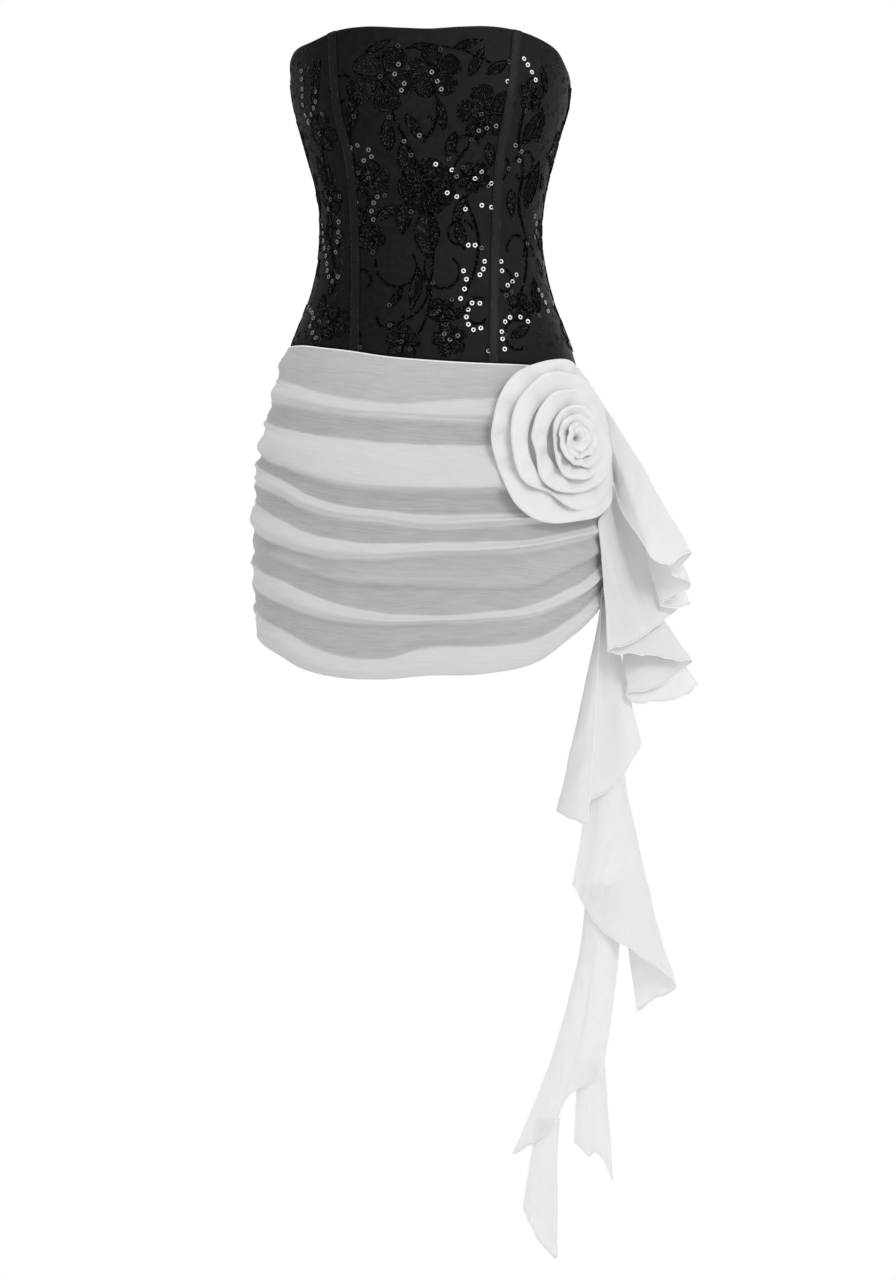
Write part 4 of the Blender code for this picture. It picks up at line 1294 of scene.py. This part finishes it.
for name, front in (("front", True), ("back", False)):
    stitched_over("embroidered_pads_" + name, [f for f in FILLS if is_front(f) == front])
    for what, lines, out, thick, finish, sides in (
        ("threads", THREADS, 0.5, 0.62, THREAD, 3),
        ("strokes", STROKES, 0.35, 0.7, STROKE, 3),
        ("braids", BRAIDS, 0.6, 1.45, BRAID, 4),
    ):
        laid = [place(l[:, 0], l[:, 1], out) for l in lines if is_front(l) == front]
        if not laid:
            continue
        obj = cords("embroidered_" + what + "_" + name, laid, thick, finish, sides)
        on_dress(obj, "corset")
    spots = np.array([s for s in SPANGLES if is_front([s]) == front])
    source = bpy.data.meshes.new("sequins_" + name)
    where = place(spots[:, 0], spots[:, 1], 1.15) * MM
    source.from_pydata(where.tolist(), [], [])
    facing = source.attributes.new("facing", "FLOAT_VECTOR", "POINT")
    facing.data.foreach_set("vector", outward(spots[:, 0], spots[:, 1]).astype(np.float32).ravel())
    # Each sequin carries its painted glints as a mark.
    painted_glint = source.attributes.new("painted_glint", "FLOAT", "POINT")
    painted_glint.data.foreach_set("value", spots[:, 2].astype(np.float32))
    values = {
        "Across": SEQUIN_ACROSS * MM, "Hole": SEQUIN_HOLE * MM, "Lean": 0.18, "Seed": 5,
        "Finish": SEQUIN,
    }
    on_dress(grown("sequins_" + name, source, SEQUINS, values, SEQUIN), "corset")


# ------------------------------------------------------------------ skirts
def skirt_angles(first, last, count):
    """Angles of a skirt panel that overlaps its neighbour by a hair at the side seams."""
    small = math.degrees(-0.06 / 170.0)
    return np.linspace(first + small, last - small, count)


def fold_out(number, angle):
    """How far a fold line stands out at an angle, with uneven gathers."""
    middle, side = FOLDS[number][:2]
    turn = np.abs(turned(angle))
    near = np.clip(1.0 - np.abs(turn - 90.0) / 18.0, 0, 1)
    near = near * near * (3 - 2 * near)
    wave = 1.0 + 0.28 * np.sin(np.radians(angle) * 3.1 + 1.9 * number)
    behind = 0.8 + 0.25 * np.sin(np.radians(angle) * 5.0 + 2.7 * number)
    wave = np.where(turn > 90, wave * behind, wave)
    return middle * wave * (1 - near) + side * near


def ruched(angles, rows):
    """The overskirt's points and its fold numbers, row by row."""
    lines, outs = [], []
    above = np.full(len(angles), 10000.0)
    for number in range(len(FOLDS)):
        height = np.minimum(fold_height(number, angles), above - 3.5)
        if number == 0:
            height = height - 0.6
        above = height
        lines.append(height)
        out = UNDER_TO_OVER + fold_out(number, angles)
        outs.append(np.full(len(angles), 2.0) if number == 0 else out)
    lines, outs = np.array(lines), np.array(outs)
    fold = np.linspace(0, len(FOLDS) - 1, rows)
    heights = np.empty((rows, len(angles)))
    out = np.empty_like(heights)
    for j in range(len(angles)):
        heights[:, j] = smooth(list(enumerate(lines[:, j])), 1, fold)
        out[:, j] = smooth(list(enumerate(outs[:, j])), 1, fold)
    turn = np.abs(turned(angles))[None, :]
    fold = fold[:, None] + 0 * out
    girth = angles[None, :] * 2.6
    # Each doubled band stands proud by its own ply, with its edge turned up.
    for top, low in ((2, 4), (5, 8), (9, 11), (12, 14), (17, 19), (21, 23.5)):
        lift = np.clip((fold - top) / 0.10, 0, 1) * np.clip((low - fold) / 0.5, 0, 1)
        edge = np.exp(-(((fold - top - 0.12) / 0.16) ** 2))
        out = out + 0.9 * lift + 0.5 * edge
    # Fine creases lie along the folds, and crowd at the side seams.
    near = np.exp(-(((turn - 90) / 16.0) ** 2))
    fine = uneven(girth / 55, heights / 5.5, 11) * 0.42
    fine += uneven(girth / 110 + heights / 60, heights / 11, 12) * 0.7
    fine += near * uneven(girth / 14, heights / 4.6, 13) * 1.6
    seam = np.exp(-(((turn - 90) / 5.0) ** 2))
    fine += seam * uneven(girth / 30, heights / 6.5, 14) * 2.2
    # At the very seam both panels share one line.
    joint = np.exp(-(((turn - 90) / 1.5) ** 2))
    fine = fine * (1 - joint) + uneven(7.3, heights / 6.5, 15) * 1.3 * joint
    ends = np.clip(fold, 0, 1) * np.clip((23.4 - fold) / 1.0, 0.3, 1)
    out = np.maximum(out + fine * ends, 1.9)
    return place(angles[None, :] + 0 * out, heights, out), fold


SKIRTS = (("front", -90.0, 90.0, 170, 220), ("back", 90.0, 270.0, 120, 160))
for name, first, last, columns, rows in SKIRTS:
    angles = skirt_angles(first, last, columns)
    grid, fold = ruched(angles, rows)
    over = sheet("overskirt_" + name + "_chiffon", grid, SKIRT, wall=0.5, marks={"fold": fold})
    on_dress(over, "chiffon", "overskirt_" + name)
    declare(over, ["underskirt_" + name + "_satin"], longer=1.35)
    angles = skirt_angles(first, last, 72)
    down = np.linspace(0, 1, 30)[:, None]
    top = waistband(angles)[None, :] - 1.2
    hem = fold_height(len(FOLDS) - 1, angles)[None, :] + 8.0
    heights = top * (1 - down) + hem * down
    grid = place(angles[None, :] + 0 * heights, heights, 0 * heights)
    under = sheet("underskirt_" + name + "_satin", grid, UNDER, wall=0.9, side=-1.0)
    on_dress(under, "underskirt", "underskirt_" + name)
    declare(under, ["bodice_front_cloth"])

around = np.linspace(-180, 180, 361)[:-1]
piping = place(around, waistband(around) - 1.2, 2.5 + 0 * around)
on_dress(cords("skirt_top_edge", [], 1.7, HEM, 8, loops=[piping]), "chiffon")

# ------------------------------------------------------------------ rosette
HIP_ANGLES = ROSETTE_ANGLE + np.arange(-60, 91, 2.0)
HIP_LENGTHS = lengths_along(on_form(HIP_ANGLES, ROSETTE_HEIGHT))
HIP_LENGTHS -= np.interp(ROSETTE_ANGLE, HIP_ANGLES, HIP_LENGTHS)

# The core sits to the wearer's left of the collar's middle, and a little low.
CORE_ASIDE, CORE_DROP = 17.0, 4.0
# Turns of the strip, and how far its rim reaches as a share of the rosette.
RIMS = (
    (0.0, 0.05), (1.0, 0.11), (2.0, 0.17), (3.0, 0.26), (4.0, 0.36), (5.0, 0.55), (6.0, 0.74),
    (6.6, 0.86),
)
# How far each turn sits aside, as a share of the core's place.
ASIDE = (
    (0.0, 0.42), (1.0, 0.42), (2.0, 0.46), (3.0, 0.57), (4.0, 0.60), (5.0, 0.39), (6.0, 0.18),
    (6.6, 0.04),
)
# Where the rim is pinched in, in degrees of turn along the strip, and how deep.
PINCHES = (
    (290, 0.02), (480, 0.02), (690, 0.03), (900, 0.03), (1050, 0.03), (1240, 0.05), (1420, 0.04),
    (1560, 0.06), (1695, 0.05), (1810, 0.07), (1985, 0.08), (2095, 0.06), (2210, 0.09),
    (2320, 0.05),
)
# Where furrows run in from the rim, in degrees round the rosette, and how deep.
FURROWS = (
    (128, 3.0), (158, 4.0), (190, 4.2), (218, 3.4), (252, 2.4), (72, 2.6), (40, 2.0),
)
STRIP_START = 194.0


def petal(share, turn, out, shift=0.0):
    """Points at a share of the rosette's size, at a turn round it, and out."""
    way = np.radians(turn)
    across = ROSETTE_ACROSS * share * (1 - 0.12 * shift) * np.cos(way) + shift * CORE_ASIDE
    angle = np.interp(across, HIP_LENGTHS, HIP_ANGLES)
    up = ROSETTE_UP * share * (1 + 0.22 * shift) * np.sin(way)
    return place(angle, ROSETTE_HEIGHT + up - shift * CORE_DROP, out)


def rosette_backing():
    turn = (360.0 * np.arange(72) / 72)[None, :]
    share = np.array([0.05, 0.14, 0.30, 0.45, 0.60])[:, None]
    grid = petal(share + 0 * turn, turn + 0 * share, BACKING_OUT + 0 * share * turn)
    hub = petal(np.array(0.0), np.array(0.0), np.array(BACKING_OUT))
    obj = sheet("rosette_backing_disc", grid, ROSETTE, closed=True, wall=1.4, side=-1.0, hub=hub)
    on_dress(obj, "chiffon", "rosette_backing")


def rosette_wraps():
    """The folded strip, wound in a spiral of cups with a rolled rim."""
    turns = RIMS[-1][0]
    number = np.linspace(0, turns, int(turns * 72))
    turn = STRIP_START + 360.0 * number
    way = turned(turn - 85.0)
    rim = smooth(RIMS, 1, number)
    foot = np.maximum(smooth(RIMS, 1, np.maximum(number - 1.0, 0.0)) - 0.02, 0.03)
    grown_up = np.clip((number - 4.0) / 1.5, 0, 1)
    rim = rim + 0.13 * grown_up * np.exp(-((way / 46.0) ** 2))
    ripple = 0.045 * np.sin(np.radians(turn * 2.37))
    rim = rim * (1 + ripple + 0.03 * np.sin(np.radians(turn * 4.1 + 50)))
    high = 25.0 + np.minimum(number, 2.0) - 3.5 * np.maximum(number - 2.0, 0.0)
    high = high + 1.5 * np.sin(np.radians(turn * 1.7 + 30))
    for spot, deep in PINCHES:
        near = np.exp(-(((turn - STRIP_START - spot) / 17.0) ** 2))
        rim = rim - deep * near
        high = high - 55.0 * deep * near
    ends = np.clip(number / 0.3, 0, 1) * np.clip((turns - number) / 0.45, 0, 1)
    high = high * (0.34 + 0.66 * ends * (2 - ends))
    base = BACKING_OUT + 0.75
    cup = ((0, 0.0), (1, 0.07), (2, 0.24), (3, 0.52), (4, 0.80), (5, 0.97))
    lift = ((0, 0.0), (1, 0.42), (2, 0.70), (3, 0.87), (4, 0.965), (5, 1.0))
    up = np.linspace(0, 5, 16)[:, None]
    share = foot + (rim - foot) * smooth(cup, 1, up[:, 0])[:, None]
    foot_up = 0.4 + 0.1 * np.clip(number, 0, 1)
    out = base + high * (foot_up + (1 - foot_up) * smooth(lift, 1, up[:, 0])[:, None])
    soft = up / 5.0
    slack = soft * np.clip(number / 2.0, 0.2, 1)
    for spot, deep in FURROWS:
        furrow = np.exp(-((turned(turn - spot - 9 * number) / 9.0) ** 2))
        furrow = furrow * np.clip(number - 2.6, 0, 1)
        out = out - deep * furrow[None, :] * np.sin(np.pi * np.clip(soft, 0, 1))
    out = out + uneven(turn[None, :] / 13, soft * 1.3, 21) * 2.6 * slack
    share = share + uneven(turn[None, :] / 21, soft * 1.5, 22) * 0.022 * slack
    roll = np.radians(np.linspace(0, 215, 11))[1:, None]
    thick = 2.2 - 1.3 * np.exp(-number / 2.2)
    share = np.concatenate([share, share[-1:] + thick / 72.0 * np.sin(roll)])
    out = np.concatenate([out, out[-1:] - thick * (1 - np.cos(roll))])
    grid = petal(share, turn[None, :] + 0 * share, out, shift=smooth(ASIDE, 1, number))
    obj = sheet("rosette_spiral", grid, ROSETTE, wall=0.9)
    on_dress(obj, "chiffon", "rosette_wraps")
    declare(obj, ["rosette_backing_disc"], wider=1.15)


# How far the collar reaches at each turn round the rosette.
COLLAR = (
    (-36, 1.07), (8, 1.02), (51, 0.99), (86, 0.945), (130, 0.96), (170, 0.945), (200, 0.91),
    (233, 1.02), (278, 0.995), (324, 1.07), (368, 1.02),
)


def rosette_collar():
    """The flat outer petals: one ring with soft folds that run out from the core."""
    count = 240
    turn = 360.0 * np.arange(count) / count
    base = BACKING_OUT + 2.05
    rim = smooth(COLLAR, 1, turn) + 0.012 * np.sin(np.radians(turn * 6 + 20))
    wave = np.sin(np.radians(turn * 5 + 40))
    folds = sum(
        deep * np.exp(-((turned(turn - spot) / wide) ** 2))
        for spot, deep, wide in (
            (150, 4.6, 8), (178, 5.2, 7), (203, 4.4, 7), (232, 3.2, 9), (118, 3.8, 8),
            (86, 2.8, 8), (58, 3.4, 8), (268, 3.0, 10), (305, 3.4, 9), (340, 3.0, 9),
        )
    )
    share = np.array([0.50 + 0 * turn, 0.66 + 0 * turn, 0.84 + 0.02 * wave, rim - 0.02])
    proud = np.array([0 * turn, 1.4 + 0.5 * wave, 5.2 + 1.6 * wave, 5.6 + 1.6 * wave])
    outs = base + proud
    rise = np.linspace(0, 3, 22)
    reach = np.stack([smooth(list(enumerate(share[:, j])), 1, rise) for j in range(count)], -1)
    out = np.stack([smooth(list(enumerate(outs[:, j])), 1, rise) for j in range(count)], -1)
    up = (rise / 3)[:, None]
    out = out - folds[None, :] * np.sin(np.pi * np.clip(up * 0.8, 0, 1)) ** 0.8
    out = out + uneven(turn[None, :] / 11.25, up * 2, 23) * 1.2 * up
    out = np.maximum(out, base - 0.3)
    roll = np.radians(np.linspace(0, 200, 9))[1:, None]
    reach = np.concatenate([reach, reach[-1:] + 1.6 / 74.0 * np.sin(roll)])
    out = np.concatenate([out, out[-1:] - 1.6 * (1 - np.cos(roll))])
    grid = petal(reach, turn[None, :] + 0 * reach, out)
    obj = sheet("rosette_petals", grid, ROSETTE, closed=True, wall=0.9)
    on_dress(obj, "chiffon", "rosette_collar")
    declare(obj, ["rosette_backing_disc"])


rosette_backing()
rosette_wraps()
rosette_collar()


# ------------------------------------------------------------------ falls
def fall(table, columns, steps, spread=1.0, belly=0.0, held=None):
    """Cloth hung from its top line to its hem."""
    ends = between(table, np.linspace(0, 1, columns))
    top = seen(*ends[:, :3].T)
    hem = seen(*ends[:, 3:].T)
    if held:
        top = place(np.degrees(np.arctan2(top[:, 0], -top[:, 1])), top[:, 2], held + 0 * top[:, 2])
    down = np.linspace(0, 1, steps)[:, None, None]
    out = down**spread
    grid = np.empty((steps, columns, 3))
    grid[..., :2] = top[None, :, :2] + (hem - top)[None, :, :2] * out
    grid[..., 2] = top[None, :, 2] + (hem - top)[None, :, 2] * down[..., 0]
    grid[..., 0] += (belly * np.sin(math.pi * down))[..., 0]
    # Soft folds run down the cloth, from nothing at its top.
    along = np.gradient(grid, axis=0)
    aside = np.gradient(grid, axis=1)
    face = np.cross(along, aside)
    face /= np.maximum(np.linalg.norm(face, axis=2, keepdims=True), 1e-6)
    width = np.cumsum(np.linalg.norm(aside, axis=2), axis=1)
    length = np.cumsum(np.linalg.norm(along, axis=2), axis=0)
    soft = uneven(width / 15, length / 150, columns) * 1.5
    soft += uneven(width / 6, length / 40, steps) * 0.5
    grid = grid + face * (soft * np.clip(down[..., 0] * 3, 0, 1))[..., None]
    # The hem wanders a little.
    fall_way = along / np.maximum(np.linalg.norm(along, axis=2, keepdims=True), 1e-6)
    wander = uneven(width / 9, length * 0 + steps, 31) * 1.6 * np.clip(down[..., 0] * 4 - 3, 0, 1)
    return grid + fall_way * wander[..., None]


FALLS = (
    ("flounce_upper", FLOUNCE_UPPER, 120, 60, 1.0, 3.0, HELD_OUT, "overskirt_front_chiffon"),
    ("flounce_middle", FLOUNCE_MIDDLE, 170, 50, 0.85, 0.0, HELD_OUT, "overskirt_front_chiffon"),
    ("cascade_front", CASCADE_FRONT, 100, 70, 1.23, 0.0, HELD_OUT, "overskirt_front_chiffon"),
    ("cascade_back", CASCADE_BACK, 100, 90, 1.6, 0.0, None, "cascade_front_chiffon"),
    ("streamer", STREAMER, 80, 80, 1.7, 0.0, None, "cascade_back_chiffon"),
    ("tail_left", TAIL_LEFT, 40, 40, 1.0, 0.0, None, "streamer_chiffon"),
    ("tail_right", TAIL_RIGHT, 40, 40, 1.0, 0.0, None, "streamer_chiffon"),
)
for name, table, columns, rows, spread, belly, held, carrier in FALLS:
    grid = fall(table, columns, rows, spread, belly, held)
    cloth = sheet(name + "_chiffon", grid, FALL, wall=0.5)
    on_dress(cloth, "chiffon", name)
    declare(cloth, [carrier], wider=1.05)
    edge = np.concatenate([grid[:, 0], grid[-1, 1:-1], grid[::-1, -1]])
    on_dress(cords(name + "_hem", [edge], 1.3, HEM, 6), "chiffon")


# ------------------------------------------------------------------ studio
FLOOR_HEIGHT = -1240.0
WORLD_LIGHT = 0.72
# Name, place, what it aims at, size, power.
LIGHTS = (
    ("key", (1900, -2500, 1500), (0, 0, -250), 1.3, 37.0),
    ("fill", (-2300, -2200, 300), (0, 0, -300), 2.0, 5.0),
    ("top", (-200, 300, 2300), (0, 0, 0), 1.6, 11.0),
    ("behind", (900, 2800, 900), (0, 0, -300), 2.0, 12.0),
)


def studio():
    """A round pale floor under the dress, soft lights, and white all round."""
    ring = np.radians(np.linspace(0, 360, 97)[:-1])
    spread = np.array([300.0, 1200.0, 2400.0])[:, None]
    level_floor = np.full((len(spread), len(ring)), FLOOR_HEIGHT)
    grid = np.stack([spread * np.cos(ring), spread * np.sin(ring), level_floor], -1)
    hub = np.array([0.0, 0.0, FLOOR_HEIGHT])
    floor = sheet("studio_floor", grid, PAPER, closed=True, wall=0, hub=hub)
    bpy.context.scene.view_settings.view_transform = "Standard"
    world = bpy.data.worlds.new("studio_light")
    bpy.context.scene.world = world
    world.use_nodes = True
    tree = world.node_tree
    soft = tree.nodes["Background"]
    soft.inputs[0].default_value = (1.0, 1.0, 1.0, 1.0)
    soft.inputs[1].default_value = WORLD_LIGHT
    white = tree.nodes.new("ShaderNodeBackground")
    white.inputs[0].default_value = (1.0, 1.0, 1.0, 1.0)
    white.inputs[1].default_value = 1.0
    path = tree.nodes.new("ShaderNodeLightPath")
    mix = tree.nodes.new("ShaderNodeMixShader")
    tree.links.new(path.outputs["Is Camera Ray"], mix.inputs[0])
    tree.links.new(soft.outputs[0], mix.inputs[1])
    tree.links.new(white.outputs[0], mix.inputs[2])
    tree.links.new(mix.outputs[0], tree.nodes["World Output"].inputs["Surface"])
    for name, spot, aim, size, power in LIGHTS:
        light = bpy.data.lights.new(name, "AREA")
        light.shape = "DISK"
        light.size = size
        light.energy = power
        obj = bpy.data.objects.new(name, light)
        obj.location = [value * MM for value in spot]
        toward = np.array(aim, float) - np.array(spot, float)
        far = np.linalg.norm(toward)
        pitch = math.acos(-toward[2] / far)
        obj.rotation_euler = (pitch, 0.0, math.atan2(toward[1], toward[0]) - math.pi / 2)
        bpy.context.scene.collection.objects.link(obj)


studio()
